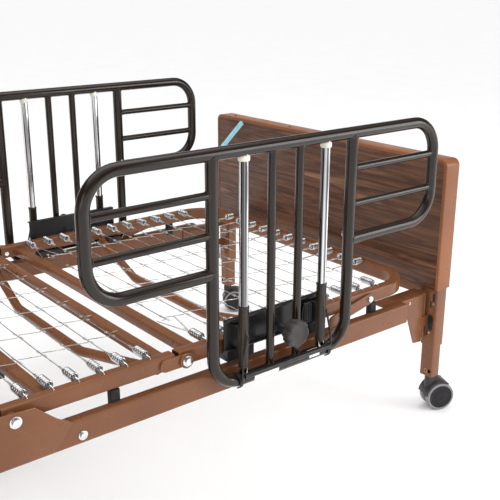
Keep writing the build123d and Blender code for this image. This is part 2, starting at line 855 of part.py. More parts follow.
lift_arm(-300, head_pin_x, head_pin_z, head_arm_y, "head_lift_arm")
lift_arm(21.5, knee_pin_x, knee_pin_z, knee_arm_y, "knee_lift_arm")
actuator_rod(head_pin_x, head_rod_z, head_arm_y, -1, 210, "head_actuator_rod")
actuator_rod(knee_pin_x, knee_rod_z, knee_arm_y, 1, 200, "knee_actuator_rod")
actuator(hanger_x + 5, head_rod_z, head_arm_y, -1, 215, 1, "head_actuator")
actuator(hanger_x + 10, knee_rod_z, knee_arm_y, 1, 205, -1, "knee_actuator")

with BuildPart() as base_members:
    for x in (hanger_x, rear_member_x):
        block(x - 15, x + 15, -rail_inner_y, rail_inner_y, member_low, member_high)
        block(x - 13, x + 13, -rail_inner_y, rail_inner_y, member_low + 2, member_high - 2, Mode.SUBTRACT)
    for y, level in ((head_arm_y, head_rod_z), (knee_arm_y, knee_rod_z)):
        block(hanger_x - 3, hanger_x + 3, y - 26, y + 26, level - 24, member_low)
        rod_x(y, level, hanger_x - 4, hanger_x + 4, barrel_radius + 0.02, Mode.SUBTRACT)
save(base_members.part, "base_members")

with BuildPart() as control_box:
    block(hanger_x - 70, hanger_x + 50, 190, 300, 246, member_low)
    for y in (215, 245, 275):
        rod_x(y, 268, hanger_x + 50, hanger_x + 58, 8)
        rod_x(y, 268, hanger_x + 50.5, hanger_x + 59, 5, Mode.SUBTRACT)
save(control_box.part, "control_box")
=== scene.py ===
import json
from math import atan2, cos, pi, radians, sin, sqrt

import bmesh
import bpy
from mathutils import Matrix, Quaternion, Vector, noise


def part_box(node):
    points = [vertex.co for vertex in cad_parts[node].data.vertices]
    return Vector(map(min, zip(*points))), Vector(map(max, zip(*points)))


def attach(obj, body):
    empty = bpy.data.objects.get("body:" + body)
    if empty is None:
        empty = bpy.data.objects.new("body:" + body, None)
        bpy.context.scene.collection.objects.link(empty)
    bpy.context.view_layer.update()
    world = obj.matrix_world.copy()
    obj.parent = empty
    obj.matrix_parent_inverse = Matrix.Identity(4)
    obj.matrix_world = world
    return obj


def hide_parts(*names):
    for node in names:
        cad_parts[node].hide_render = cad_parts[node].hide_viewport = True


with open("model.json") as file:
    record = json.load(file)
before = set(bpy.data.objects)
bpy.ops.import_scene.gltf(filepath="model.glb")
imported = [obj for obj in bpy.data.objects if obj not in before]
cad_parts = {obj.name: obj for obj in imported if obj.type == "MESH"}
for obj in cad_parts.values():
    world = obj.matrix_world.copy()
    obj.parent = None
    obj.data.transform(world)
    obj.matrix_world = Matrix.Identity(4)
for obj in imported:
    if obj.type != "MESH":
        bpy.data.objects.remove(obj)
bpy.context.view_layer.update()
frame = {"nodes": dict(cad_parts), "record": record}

# Lengths in this script are millimetres until a piece is made, and Blender's objects are in metres.
MM = 0.001
SIDES = (-1, 1)
X = Vector((1, 0, 0))
Y = Vector((0, 1, 0))
Z = Vector((0, 0, 1))


def span(node):
    """Lowest and highest corner of a CAD node, in millimetres."""
    low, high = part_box(node)
    return Vector(low) / MM, Vector(high) / MM


def word(side):
    return "left" if side > 0 else "right"


# ---------------------------------------------------------------- camera, light and floor
CAMERA_PLACE = (-0.5452, -1.6816, 1.0960)
CAMERA_DEGREES = (39.291, 18.161, 0.27)
CAMERA_LENS, SENSOR_WIDTH = 59.97, 36.0


def camera():
    """The view from beside the bed's middle, looking towards its foot end."""
    yaw, pitch, roll = [radians(angle) for angle in CAMERA_DEGREES]
    forward = Vector((sin(yaw) * cos(pitch), cos(yaw) * cos(pitch), -sin(pitch)))
    level = Vector((cos(yaw), -sin(yaw), 0))
    upright = level.cross(forward)
    right = level * cos(roll) + upright * sin(roll)
    up = upright * cos(roll) - level * sin(roll)
    data = bpy.data.cameras.new("camera")
    data.sensor_width = SENSOR_WIDTH
    data.lens = CAMERA_LENS
    view = bpy.data.objects.new("camera", data)
    bpy.context.scene.collection.objects.link(view)
    turn = Matrix((right, up, -forward)).transposed().to_4x4()
    view.matrix_world = Matrix.Translation(CAMERA_PLACE) @ turn
    bpy.context.scene.camera = view


def softbox(name, place, target, width, height, watts):
    data = bpy.data.lights.new(name, "AREA")
    data.shape = "RECTANGLE"
    data.size = width
    data.size_y = height
    data.energy = watts
    lamp = bpy.data.objects.new(name, data)
    bpy.context.scene.collection.objects.link(lamp)
    aim = (Vector(target) - Vector(place)).to_track_quat("-Z", "Y")
    lamp.matrix_world = Matrix.Translation(place) @ aim.to_matrix().to_4x4()


def colour_ramp(tree, factor, stops):
    """A ramp over a factor in a node tree; stops are (position, colour or grey value)."""
    ramp = tree.nodes.new("ShaderNodeValToRGB")
    elements = ramp.color_ramp.elements
    while len(elements) < len(stops):
        elements.new(0.5)
    for element, (position, value) in zip(elements, stops):
        grey = isinstance(value, (int, float))
        element.position = position
        element.color = (value, value, value, 1) if grey else (*value, 1)
    tree.links.new(factor, ramp.inputs["Fac"])
    return ramp.outputs["Color"]


def surround():
    """The world: an even white glow that lights the set, and a banded sky that only reflections see."""
    world = bpy.data.worlds.new("surround")
    world.use_nodes = True
    tree = world.node_tree
    nodes, links = tree.nodes, tree.links
    direction = nodes.new("ShaderNodeTexCoord").outputs["Generated"]
    height = nodes.new("ShaderNodeSeparateXYZ")
    links.new(direction, height.inputs["Vector"])
    glow = colour_ramp(tree, height.outputs["Z"], ((0.0, 0.95), (0.3, 0.9), (0.6, 1.15)))
    bands = ((0.0, 1.3), (0.16, 1.0), (0.26, 0.10), (0.60, 0.10), (0.80, 0.8))
    reflected = colour_ramp(tree, height.outputs["Z"], bands)
    for way in SIDES:
        beside = nodes.new("ShaderNodeVectorMath")
        beside.operation = "DOT_PRODUCT"
        beside.inputs[1].default_value = (0.774 * way, -0.633 * way, 0)
        links.new(direction, beside.inputs[0])
        flag = colour_ramp(tree, beside.outputs["Value"], ((0.62, 1.0), (0.80, 0.12)))
        product = nodes.new("ShaderNodeVectorMath")
        product.operation = "MULTIPLY"
        links.new(reflected, product.inputs[0])
        links.new(flag, product.inputs[1])
        reflected = product.outputs["Vector"]
    ray = nodes.new("ShaderNodeLightPath").outputs["Is Glossy Ray"]
    choice = nodes.new("ShaderNodeMix")
    choice.data_type = "RGBA"
    sockets = [s for s in choice.inputs if s.type == "RGBA"]
    links.new(ray, choice.inputs["Factor"])
    links.new(glow, sockets[0])
    links.new(reflected, sockets[1])
    links.new([s for s in choice.outputs if s.type == "RGBA"][0], nodes["Background"].inputs["Color"])
    nodes["Background"].inputs["Strength"].default_value = 1.0
    bpy.context.scene.world = world


def studio():
    """The surround, three large soft lights and a wide white floor."""
    bpy.context.scene.view_settings.view_transform = "Standard"
    surround()
    softbox("overhead", (0.2, 0.3, 3.2), (0.1, 0.1, 0.3), 3.8, 2.2, 36)
    softbox("window", (2.9, -2.7, 1.3), (0.9, -0.3, 0.35), 1.8, 1.8, 50)
    softbox("fill", (-2.8, -2.2, 1.7), (0, 0, 0.4), 1.4, 1.4, 10)
    far = 90
    corners = [(-far, -far, 0), (far, -far, 0), (far, far, 0), (-far, far, 0)]
    mesh = bpy.data.meshes.new("floor")
    mesh.from_pydata(corners, [], [(0, 1, 2, 3)])
    floor = bpy.data.objects.new("floor", mesh)
    bpy.context.scene.collection.objects.link(floor)
    mesh.materials.append(floor_paint())


# ---------------------------------------------------------------- materials
class Surface:
    """A node material with helpers for its patterns. Coordinates are the row frame's, in metres."""

    def __init__(self, name, colour, roughness, metallic=0.0, coat=0.0):
        self.material = bpy.data.materials.new(name)
        self.material.use_nodes = True
        self.nodes = self.material.node_tree.nodes
        self.links = self.material.node_tree.links
        self.shader = self.nodes["Principled BSDF"]
        self.set("Base Color", (*colour, 1))
        self.set("Roughness", roughness)
        self.set("Metallic", metallic)
        if metallic < 0.5:
            self.set("Specular IOR Level", 0.34)
        if coat:
            self.set("Coat Weight", coat)
            self.set("Coat Roughness", 0.14)
        self.place = self.nodes.new("ShaderNodeTexCoord").outputs["Object"]

    def set(self, socket, value):
        self.shader.inputs[socket].default_value = value

    def stretched(self, scale, turn=(0, 0, 0)):
        mapping = self.nodes.new("ShaderNodeMapping")
        mapping.inputs["Scale"].default_value = scale
        mapping.inputs["Rotation"].default_value = turn
        self.links.new(self.place, mapping.inputs["Vector"])
        return mapping.outputs["Vector"]

    def noise(self, scale, detail=3.0, roughness=0.5, vector=None, distortion=0.0):
        texture = self.nodes.new("ShaderNodeTexNoise")
        texture.inputs["Scale"].default_value = scale
        texture.inputs["Detail"].default_value = detail
        texture.inputs["Roughness"].default_value = roughness
        texture.inputs["Distortion"].default_value = distortion
        self.links.new(vector or self.place, texture.inputs["Vector"])
        return texture.outputs["Fac"]

    def ramp(self, factor, *stops):
        return colour_ramp(self.material.node_tree, factor, stops)

    def mix(self, factor, first, second, mode="MIX"):
        node = self.nodes.new("ShaderNodeMix")
        node.data_type = "RGBA"
        node.blend_type = mode
        sockets = [s for s in node.inputs if s.type == "RGBA"]
        for socket, value in ((node.inputs["Factor"], factor), (sockets[0], first), (sockets[1], second)):
            if isinstance(value, bpy.types.NodeSocket):
                self.links.new(value, socket)
            elif isinstance(value, (int, float)):
                socket.default_value = value
            else:
                socket.default_value = (*value, 1)
        return [s for s in node.outputs if s.type == "RGBA"][0]

    def worn_edges(self, radius, low, high):
        """White along sharp edges, where the rounded normal leaves the true one."""
        bevel = self.nodes.new("ShaderNodeBevel")
        bevel.samples = 4
        bevel.inputs["Radius"].default_value = radius
        geometry = self.nodes.new("ShaderNodeNewGeometry")
        dot = self.nodes.new("ShaderNodeVectorMath")
        dot.operation = "DOT_PRODUCT"
        self.links.new(bevel.outputs["Normal"], dot.inputs[0])
        self.links.new(geometry.outputs["Normal"], dot.inputs[1])
        return self.ramp(dot.outputs["Value"], (low, 1.0), (high, 0.0))

    def bump(self, height, strength, distance=0.001):
        node = self.nodes.new("ShaderNodeBump")
        node.inputs["Strength"].default_value = strength
        node.inputs["Distance"].default_value = distance
        self.links.new(height, node.inputs["Height"])
        self.links.new(node.outputs["Normal"], self.shader.inputs["Normal"])

    def feed(self, socket, output):
        self.links.new(output, self.shader.inputs[socket])


def floor_paint():
    surface = Surface("floor_paint", (0.93, 0.93, 0.93), 0.7)
    grain = surface.noise(3.0, 2.0)
    surface.feed("Base Color", surface.ramp(grain, (0.3, 0.92), (0.7, 0.94)))
    return surface.material


def paint(name, colour, roughness, worn, orange_peel, coat):
    """Sprayed paint: slight mottling, orange peel, fine scuffs, and lighter rubbed edges."""
    surface = Surface(name, colour, roughness, coat=coat)
    dark = tuple(0.88 * c for c in colour)
    light = tuple(min(1.0, 1.1 * c) for c in colour)
    tone = surface.ramp(surface.noise(7.0, 4.0), (0.32, dark), (0.68, light))
    scuffs = surface.noise(60.0, 5.0, 0.6, surface.stretched((1, 1, 9), (0.3, 0.5, 0.2)))
    tone = surface.mix(surface.ramp(scuffs, (0.60, 0.0), (0.72, 0.35)), tone, light)
    edge = surface.worn_edges(0.0016, 0.93, 0.995)
    patchy = surface.ramp(surface.noise(35.0, 3.0), (0.42, 0.15), (0.62, 0.8))
    tone = surface.mix(surface.mix(1.0, edge, patchy, "MULTIPLY"), tone, worn)
    surface.feed("Base Color", tone)
    gloss = surface.noise(22.0, 4.0)
    surface.feed("Roughness", surface.ramp(gloss, (0.3, roughness - 0.07), (0.7, roughness + 0.09)))
    surface.bump(surface.noise(620.0, 2.0), orange_peel, 0.0006)
    return surface.material


def wood_laminate():
    """Dark walnut print: long streaks across the panel, cathedral waves and fine pores."""
    surface = Surface("wood_laminate", (0.1, 0.05, 0.035), 0.38, coat=0.08)
    waves = surface.noise(3.2, 5.0, 0.55, surface.stretched((14, 0.9, 11)), 0.6)
    streaks = surface.noise(9.0, 6.0, 0.65, surface.stretched((14, 0.35, 16)))
    tone = surface.ramp(
        waves,
        (0.30, (0.044, 0.018, 0.009)),
        (0.46, (0.150, 0.064, 0.032)),
        (0.56, (0.072, 0.029, 0.015)),
        (0.72, (0.250, 0.122, 0.064)),
    )
    fine = surface.ramp(streaks, (0.38, 0.55), (0.62, 1.25))
    tone = surface.mix(0.75, tone, fine, "MULTIPLY")
    pores = surface.noise(60.0, 2.0, 0.5, surface.stretched((16, 0.8, 22)))
    tone = surface.mix(surface.ramp(pores, (0.62, 0.0), (0.70, 0.55)), tone, (0.02, 0.01, 0.008))
    surface.feed("Base Color", tone)
    surface.feed("Roughness", surface.ramp(streaks, (0.3, 0.30), (0.7, 0.44)))
    surface.bump(pores, 0.06, 0.0004)
    return surface.material


def bare_metal(name, colour, roughness, brushed, pitting=0.05):
    """Plated or bare steel: cloudy reflection, fine brushing and faint pits."""
    surface = Surface(name, colour, roughness, metallic=1.0)
    dull = tuple(0.78 * c for c in colour)
    surface.feed("Base Color", surface.ramp(surface.noise(85.0, 4.0), (0.35, dull), (0.65, colour)))
    lines = surface.noise(45.0, 4.0, 0.6, surface.stretched(brushed))
    surface.feed("Roughness", surface.ramp(lines, (0.3, roughness * 0.65), (0.7, roughness * 1.45)))
    surface.bump(surface.noise(900.0, 2.0), pitting, 0.0003)
    return surface.material


def chrome_with_painted_reflections():
    """Bright plating with painted reflections: long dark and bright streaks run lengthwise in its colour,
    standing in for the bands the chrome would mirror, and a fine polish.
    """
    surface = Surface("chrome_posts", (0.8, 0.8, 0.82), 0.10, metallic=1.0)
    streaks = surface.noise(1.0, 1.5, 0.5, surface.stretched((150, 150, 0.6)))
    dark, middle, light = (0.10, 0.10, 0.105), (0.60, 0.60, 0.61), (0.92, 0.92, 0.93)
    # The ramp paints reflections into the base colour: dark, grey and bright bands along each post.
    tone = surface.ramp(streaks, (0.40, dark), (0.50, middle), (0.58, light))
    surface.feed("Base Color", tone)
    polish = surface.noise(45.0, 4.0, 0.6, surface.stretched((1, 1, 0.1)))
    surface.feed("Roughness", surface.ramp(polish, (0.3, 0.07), (0.7, 0.17)))
    surface.bump(surface.noise(900.0, 2.0), 0.01, 0.0003)
    return surface.material


def plastic(name, colour, roughness, grain_size, grain, dust=0.0):
    """Moulded plastic or rubber: fine spark-eroded grain, uneven sheen and a little dust."""
    surface = Surface(name, colour, roughness)
    light = tuple(min(1.0, 1.35 * c + 0.004) for c in colour)
    tone = surface.ramp(surface.noise(30.0, 4.0), (0.35, colour), (0.7, light))
    if dust:
        settled = surface.ramp(surface.noise(14.0, 6.0, 0.65), (0.5, 0.0), (0.75, dust))
        tone = surface.mix(settled, tone, (0.34, 0.33, 0.32))
    surface.feed("Base Color", tone)
    sheen = surface.noise(55.0, 3.0)
    surface.feed("Roughness", surface.ramp(sheen, (0.3, roughness - 0.08), (0.7, roughness + 0.1)))
    surface.bump(surface.noise(grain_size, 2.0), grain, 0.0005)
    return surface.material


def all_materials():
    """Every finish by name. Paints: colour, roughness, rubbed colour, orange peel, clear coat."""
    worn_bronze = (0.46, 0.24, 0.14)
    paints = {
        "bed_paint": ((0.184, 0.069, 0.027), 0.31, worn_bronze, 0.08, 0.10),
        # The band's paint is the frame's bronze with a lighter, more saturated base, which paints the extra
        # light that falls on the bed-end bands.
        "band_paint": ((0.240, 0.083, 0.028), 0.34, worn_bronze, 0.10, 0.06),
        "bronze_powder_coat": ((0.0165, 0.0100, 0.0066), 0.165, (0.085, 0.062, 0.046), 0.05, 0.20),
        "guide_paint": ((0.030, 0.022, 0.013), 0.28, (0.12, 0.10, 0.07), 0.14, 0.06),
        "black_steel": ((0.013, 0.012, 0.012), 0.30, (0.10, 0.10, 0.10), 0.16, 0.06),
    }
    metals = {
        "zinc_steel": ((0.86, 0.87, 0.88), 0.20, (1, 1, 6)),
        "galvanised_wire": ((0.80, 0.785, 0.76), 0.34, (1, 1, 6)),
        # The next metal is a bright bare bronze for small parts of the painted frame; its light colour paints
        # the glints on studs, rivets and eyelets.
        "glinting_bronze": ((0.62, 0.45, 0.34), 0.34, (1, 1, 3)),
    }
    plastics = {
        "black_plastic": ((0.018, 0.018, 0.020), 0.42, 1500.0, 0.25),
        "grey_plastic": ((0.040, 0.035, 0.033), 0.55, 1300.0, 0.35),
        "black_rubber": ((0.012, 0.012, 0.013), 0.68, 700.0, 0.4, 0.15),
        "caster_plastic": ((0.028, 0.025, 0.026), 0.40, 1200.0, 0.25, 0.10),
        "caster_hub": ((0.009, 0.007, 0.008), 0.5, 1200.0, 0.25, 0.06),
        "caster_tyre": ((0.21, 0.205, 0.22), 0.5, 900.0, 0.3, 0.2),
        "cream_bushing": ((0.74, 0.70, 0.62), 0.4, 1200.0, 0.15),
        "label_film": ((0.86, 0.86, 0.85), 0.33, 500.0, 0.12),
        "pale_tape": ((0.30, 0.60, 0.68), 0.3, 400.0, 0.15),
        "dark_recess": ((0.02, 0.013, 0.01), 0.8, 900.0, 0.2),
    }
    made = {"wood_laminate": wood_laminate(), "chrome_posts": chrome_with_painted_reflections()}
    for make, table in ((paint, paints), (bare_metal, metals), (plastic, plastics)):
        for name, values in table.items():
            made[name] = make(name, *values)
    return made


# ---------------------------------------------------------------- mesh building
class Shape:
    """Collects the faces of one piece, in millimetres."""

    def __init__(self):
        self.points = []
        self.faces = []

    def merge(self, points, faces):
        start = len(self.points)
        self.points.extend(points)
        self.faces.extend([tuple(start + i for i in face) for face in faces])

    def rings(self, rings, closed=False, capped=True):
        """Joins rings of equal length into a skin, with flat caps unless it is closed on itself."""
        size = len(rings[0])
        points = [p for ring in rings for p in ring]
        faces = []
        count = len(rings)
        for i in range(count if closed else count - 1):
            a, b = i * size, ((i + 1) % count) * size
            for j in range(size):
                k = (j + 1) % size
                faces.append((a + j, a + k, b + k, b + j))
        if capped and not closed:
            faces.append(tuple(reversed(range(size))))
            faces.append(tuple((count - 1) * size + j for j in range(size)))
        self.merge(points, faces)

    def sweep(self, path, section, inner=None, up=None, closed=False):
        """Carries a section along a path. A second, inner section of the same length makes it hollow."""
        frames = frames_along(path, up, closed)
        outer_rings = [[p + s * u + t * v for u, v in section] for p, s, t in frames]
        if inner is None:
            self.rings(outer_rings, closed)
            return
        inner_rings = [[p + s * u + t * v for u, v in inner] for p, s, t in frames]
        wall = outer_rings + inner_rings[::-1]
        self.rings(wall, closed=True)

    def lathe(self, profile, centre, axis, count=32, closed=False):
        """Turns a profile of (radius, distance along the axis) about the axis; a closed one makes a ring."""
        axis = Vector(axis).normalized()
        side = axis.orthogonal().normalized()
        other = axis.cross(side)
        rings = []
        for radius, along in profile:
            ring = []
            for k in range(count):
                outward = around(side, other, 2 * pi * k / count)
                ring.append(centre + axis * along + outward * max(radius, 0.01))
            rings.append(ring)
        self.rings(rings, closed)

    def block(self, low, high, radius=1.0, segments=2):
        """A box with rounded edges."""
        low, high = Vector(low), Vector(high)
        lower = Vector([min(a, b) for a, b in zip(low, high)])
        upper = Vector([max(a, b) for a, b in zip(low, high)])
        net = bmesh.new()
        bmesh.ops.create_cube(net, size=1.0)
        size = upper - lower
        for v in net.verts:
            v.co = Vector([a + (c + 0.5) * s for a, c, s in zip(lower, v.co, size)])
        reach = min(radius, 0.45 * min(size))
        bmesh.ops.bevel(net, geom=net.edges[:], offset=reach, segments=segments, profile=0.5, affect="EDGES")
        self.take(net)

    def slot_x(self, low_x, high_x, low_y, high_y, low_z, high_z, corner):
        """A cutting bar along X with a rounded section."""
        width, height = abs(high_y - low_y), high_z - low_z
        middle_y, middle_z = (low_y + high_y) / 2, (low_z + high_z) / 2
        run = [Vector((x, middle_y, middle_z)) for x in (low_x, high_x)]
        self.sweep(run, rounded(width, height, min(corner, 0.49 * width)), up=Z)

    def plate(self, outline, low_y, high_y, radius=0.8):
        """A plate whose outline is given in X and Z, between two places along Y, with eased edges."""
        low_y, high_y = sorted((low_y, high_y))
        net = bmesh.new()
        ring = [net.verts.new((x, low_y, z)) for x, z in outline]
        face = net.faces.new(ring)
        grown = bmesh.ops.extrude_face_region(net, geom=[face])
        moved = [e for e in grown["geom"] if isinstance(e, bmesh.types.BMVert)]
        bmesh.ops.translate(net, verts=moved, vec=(0, high_y - low_y, 0))
        bmesh.ops.recalc_face_normals(net, faces=net.faces[:])
        rims = [e for e in net.edges if abs(e.verts[0].co.y - e.verts[1].co.y) < 1e-6]
        reach = min(radius, 0.4 * (high_y - low_y))
        bmesh.ops.bevel(net, geom=rims, offset=reach, segments=2, profile=0.5, affect="EDGES")
        self.take(net)

    def take(self, net):
        """Copies a bmesh into the shape and frees it."""
        net.verts.index_update()
        points = [v.co.copy() for v in net.verts]
        faces = [tuple(v.index for v in f.verts) for f in net.faces]
        net.free()
        self.merge(points, faces)

    def mesh(self, name):
        """The shape as a mesh in metres, with its faces turned outward."""
        mesh = bpy.data.meshes.new(name)
        mesh.from_pydata([p * MM for p in self.points], [], self.faces)
        net = bmesh.new()
        net.from_mesh(mesh)
        bmesh.ops.recalc_face_normals(net, faces=net.faces[:])
        net.to_mesh(mesh)
        net.free()
        return mesh

    def piece(self, name, material, body, slot, nodes=(), sharp=38):
        """Turns the shape into an object that rides a body and stands for the given CAD nodes."""
        return place_piece(self.mesh(name), name, material, body, nodes, sharp)


def place_piece(mesh, name, material, body, nodes=(), sharp=38):
    mesh.polygons.foreach_set("use_smooth", [True] * len(mesh.polygons))
    mesh.set_sharp_from_angle(angle=radians(sharp))
    mesh.materials.clear()
    mesh.materials.append(finishes[material])
    thing = bpy.data.objects.new(name, mesh)
    bpy.context.scene.collection.objects.link(thing)
    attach(thing, body)
    if nodes:
        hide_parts(*nodes)
    return thing


def frames_along(path, up=None, closed=False):
    """(point, side, top) at each point of a path: held by an up direction, or carried without twist."""
    path = [Vector(p) for p in path]
    count = len(path)
    tangents = []
    for i, p in enumerate(path):
        before = path[i - 1] if (i or closed) else p
        after = path[(i + 1) % count] if (i + 1 < count or closed) else p
        tangents.append((after - before).normalized())
    frames = []
    side = tangents[0].orthogonal().normalized()
    for i, (p, t) in enumerate(zip(path, tangents)):
        if up is not None:
            side = t.cross(Vector(up)).normalized()
        elif i:
            side = tangents[i - 1].rotation_difference(t) @ side
            side = (side - t * side.dot(t)).normalized()
        frames.append((p, side, side.cross(t)))
    return frames


def around(side, other, angle):
    """The direction at an angle from one direction towards another at right angles to it."""
    return side * cos(angle) + other * sin(angle)


def circle(radius, count=20):
    return [(radius * cos(2 * pi * k / count), radius * sin(2 * pi * k / count)) for k in range(count)]


def rounded(width, height, radius, steps=4):
    """A rectangle with rounded corners."""
    points = []
    for sx, sy, start in ((1, 1, 0), (-1, 1, 90), (-1, -1, 180), (1, -1, 270)):
        cx, cy = sx * (width / 2 - radius), sy * (height / 2 - radius)
        for k in range(steps + 1):
            angle = radians(start + 90 * k / steps)
            points.append((cx + radius * cos(angle), cy + radius * sin(angle)))
    return points


def bent(points, radius, steps=8):
    """A path with its inner corners turned into arcs."""
    points = [Vector(p) for p in points]
    path = [points[0]]
    for i in range(1, len(points) - 1):
        back = (points[i - 1] - points[i]).normalized()
        ahead = (points[i + 1] - points[i]).normalized()
        half = back.angle(ahead) / 2
        reach = radius / max(1e-6, sin(half) / cos(half))
        middle = points[i] + (back + ahead).normalized() * (radius / sin(half))
        start = points[i] + back * reach - middle
        finish = points[i] + ahead * reach - middle
        for k in range(steps + 1):
            turn = Quaternion().slerp(start.rotation_difference(finish), k / steps)
            path.append(middle + turn @ start)
    path.append(points[-1])
    return path


def densify(path, pitch):
    """Adds evenly spaced points on the long runs of a path."""
    result = [path[0]]
    for a, b in zip(path, path[1:]):
        count = max(1, int((b - a).length / pitch))
        result.extend(a.lerp(b, k / count) for k in range(1, count + 1))
    return result


def stadium(x1, z1, x2, z2, radius, steps=10):
    """Outline of a plate with two round ends."""
    start, finish = Vector((x1, z1)), Vector((x2, z2))
    angle = atan2(z2 - z1, x2 - x1)
    outline = []
    for centre, offset in ((finish, -pi / 2), (start, pi / 2)):
        for k in range(steps + 1):
            a = angle + offset + pi * k / steps
            outline.append((centre.x + radius * cos(a), centre.y + radius * sin(a)))
    return outline


def rectangular_tube(shape, path, size, wall, corner, up):
    """A hollow rectangular tube with rounded corners; size is its width across and its height along up."""
    inner = rounded(size[0] - 2 * wall, size[1] - 2 * wall, max(0.6, corner - wall))
    shape.sweep(path, rounded(size[0], size[1], corner), inner, up)


def saddle(shape, centre, axis, radius, along, big_radius, bead=1.7):
    """A weld bead round the foot of a tube that meets a larger tube."""
    axis, along = Vector(axis), Vector(along)
    across = axis.cross(along)
    path = []
    for k in range(28):
        angle = 2 * pi * k / 28
        u, v = radius * cos(angle), radius * sin(angle)
        height = sqrt(max(1.0, big_radius * big_radius - v * v))
        wobble = 1 + 0.02 * noise.noise(Vector((u, v, centre[0])) * 0.7)
        path.append(Vector(centre) + along * u * wobble + across * v * wobble + axis * height)
    shape.sweep(path, circle(bead, 8), closed=True)


def hex_head(shape, centre, outward, across, height, washer):
    """A hexagon bolt head with a chamfered crown on a plain washer."""
    outward = Vector(outward)
    centre = Vector(centre)
    shape.lathe([(6, 0), (washer - 0.4, 0), (washer, 0.4), (washer, 1.3), (washer - 0.4, 1.7), (6, 1.7)],
                centre, outward, 36)
    other = outward.cross(X)
    rings = []
    for scale, lift in ((0.96, 1.5), (1.0, 2.0), (1.0, height - 1.4), (0.90, height - 0.3), (0.80, height)):
        ring = []
        for k in range(24):
            angle = 2 * pi * k / 24 + 0.3
            flat = cos(pi / 6) / cos((angle - 0.3 + pi / 6) % (pi / 3) - pi / 6)
            reach = across * min(scale, flat if lift < height - 1 else scale)
            ring.append(centre + outward * lift + around(X, other, angle) * reach)
        rings.append(ring)
    shape.rings(rings)


def softened(node, material, body, width):
    """A copy of a CAD node with its sharp edges rounded off, which stands for the node."""
    mesh = frame["nodes"][node].data.copy()
    net = bmesh.new()
    net.from_mesh(mesh)
    bmesh.ops.remove_doubles(net, verts=net.verts[:], dist=2e-6)
    bmesh.ops.dissolve_limit(net, angle_limit=radians(1.5), verts=net.verts[:], edges=net.edges[:])
    edges = [e for e in net.edges if len(e.link_faces) == 2 and e.calc_face_angle(0) > radians(45)]
    bmesh.ops.bevel(net, geom=edges, offset=width * MM, segments=2, profile=0.5, affect="EDGES",
                    clamp_overlap=True)
    net.to_mesh(mesh)
    net.free()
    return place_piece(mesh, node + "_skin", material, body, (node,))


# ---------------------------------------------------------------- side rails and bed ends
RAIL_WALL = 2.0
POST_X = 1091.0
POST_Y = 434.95
CASTER_Y = 438.0
# Slots in a post's inner face: inner and outer edge across the bed, lower and upper edge, corner radius.
HOOK_SLOTS = (
    (414.8, 421.5, 201, 238, 1.5),
    (414.8, 422.5, 272, 318, 1.5),
    (429, 434, 212, 227, 1.8),
    (431, 449, 228, 271, 8.6),
    (435.5, 441, 291, 308.5, 1.8),
    (442, 450.5, 309.5, 331, 1.8),
)


def side_rails():
    for side in SIDES:
        node = f"{word(side)}_side_rail"
        low, high = span(node)
        middle_y, middle_z = (low.y + high.y) / 2, (low.z + high.z) / 2
        size = (high.y - low.y, high.z - low.z)
        joint = span("rail_joint_sleeves")
        joint_x = (joint[0].x + joint[1].x) / 2
        shape = Shape()
        for start, finish in ((low.x, joint_x - 0.5), (joint_x + 0.5, high.x)):
            run = [Vector((x, middle_y, middle_z)) for x in (start, finish)]
            rectangular_tube(shape, densify(run, 120), size, RAIL_WALL, 4.0, Z)
        shape.piece(f"{node}_tubes", "bed_paint", "bed_frame", "bed_paint", (node,))


def end_band(name):
    """The folded steel band round a bed end, the grain on its boards, and the screws along its top."""
    low, high = span(f"{name}_end_band")
    depth = high.x - low.x
    middle_x = (low.x + high.x) / 2
    half, base, top = high.y, low.z, high.z
    corner, lip, wall, fold = 18.0, 8.0, 1.5, 3.0
    outline = [(middle_x, -half, base), (middle_x, -half, top), (middle_x, half, top), (middle_x, half, base)]
    path = densify(bent(outline, corner, 10), 90)
    outer = [(depth / 2, -lip)]
    for sign, start in ((1, 0), (-1, 90)):
        for k in range(6):
            angle = radians(start + 90 * k / 5)
            outer.append((sign * (depth / 2 - fold) + fold * cos(angle), -fold + fold * sin(angle)))
    outer.append((-depth / 2, -lip))
    inner = [(u * (depth / 2 - wall) / (depth / 2), -wall if v > -wall else v) for u, v in reversed(outer)]
    band, sections = Shape(), []
    for p, inward, ahead in frames_along(path, X):
        sections.append([p + ahead * u - inward * v for u, v in outer + inner])
    band.rings(sections)
    # The band takes the lighter band paint, which paints the extra light that falls on it.
    band.piece(f"{name}_end_band_folded", "band_paint", "bed_frame", "band_paint", (f"{name}_end_band",))
    boards = frame["nodes"][f"{name}_end_boards"].data
    boards.materials.clear()
    boards.materials.append(finishes["wood_laminate"])
    screws = Shape()
    for share in (-0.86, -0.3, 0.3, 0.86):
        head = [(4.2, -0.6), (4.2, 0.0), (3.4, 0.9), (1.6, 1.3), (1.4, 0.4), (0.2, 0.4)]
        screws.lathe(head, Vector((middle_x, share * half, top)), Z, 20)
    screws.piece(f"{name}_end_top_screws", "dark_recess", "bed_frame", "black_steel")


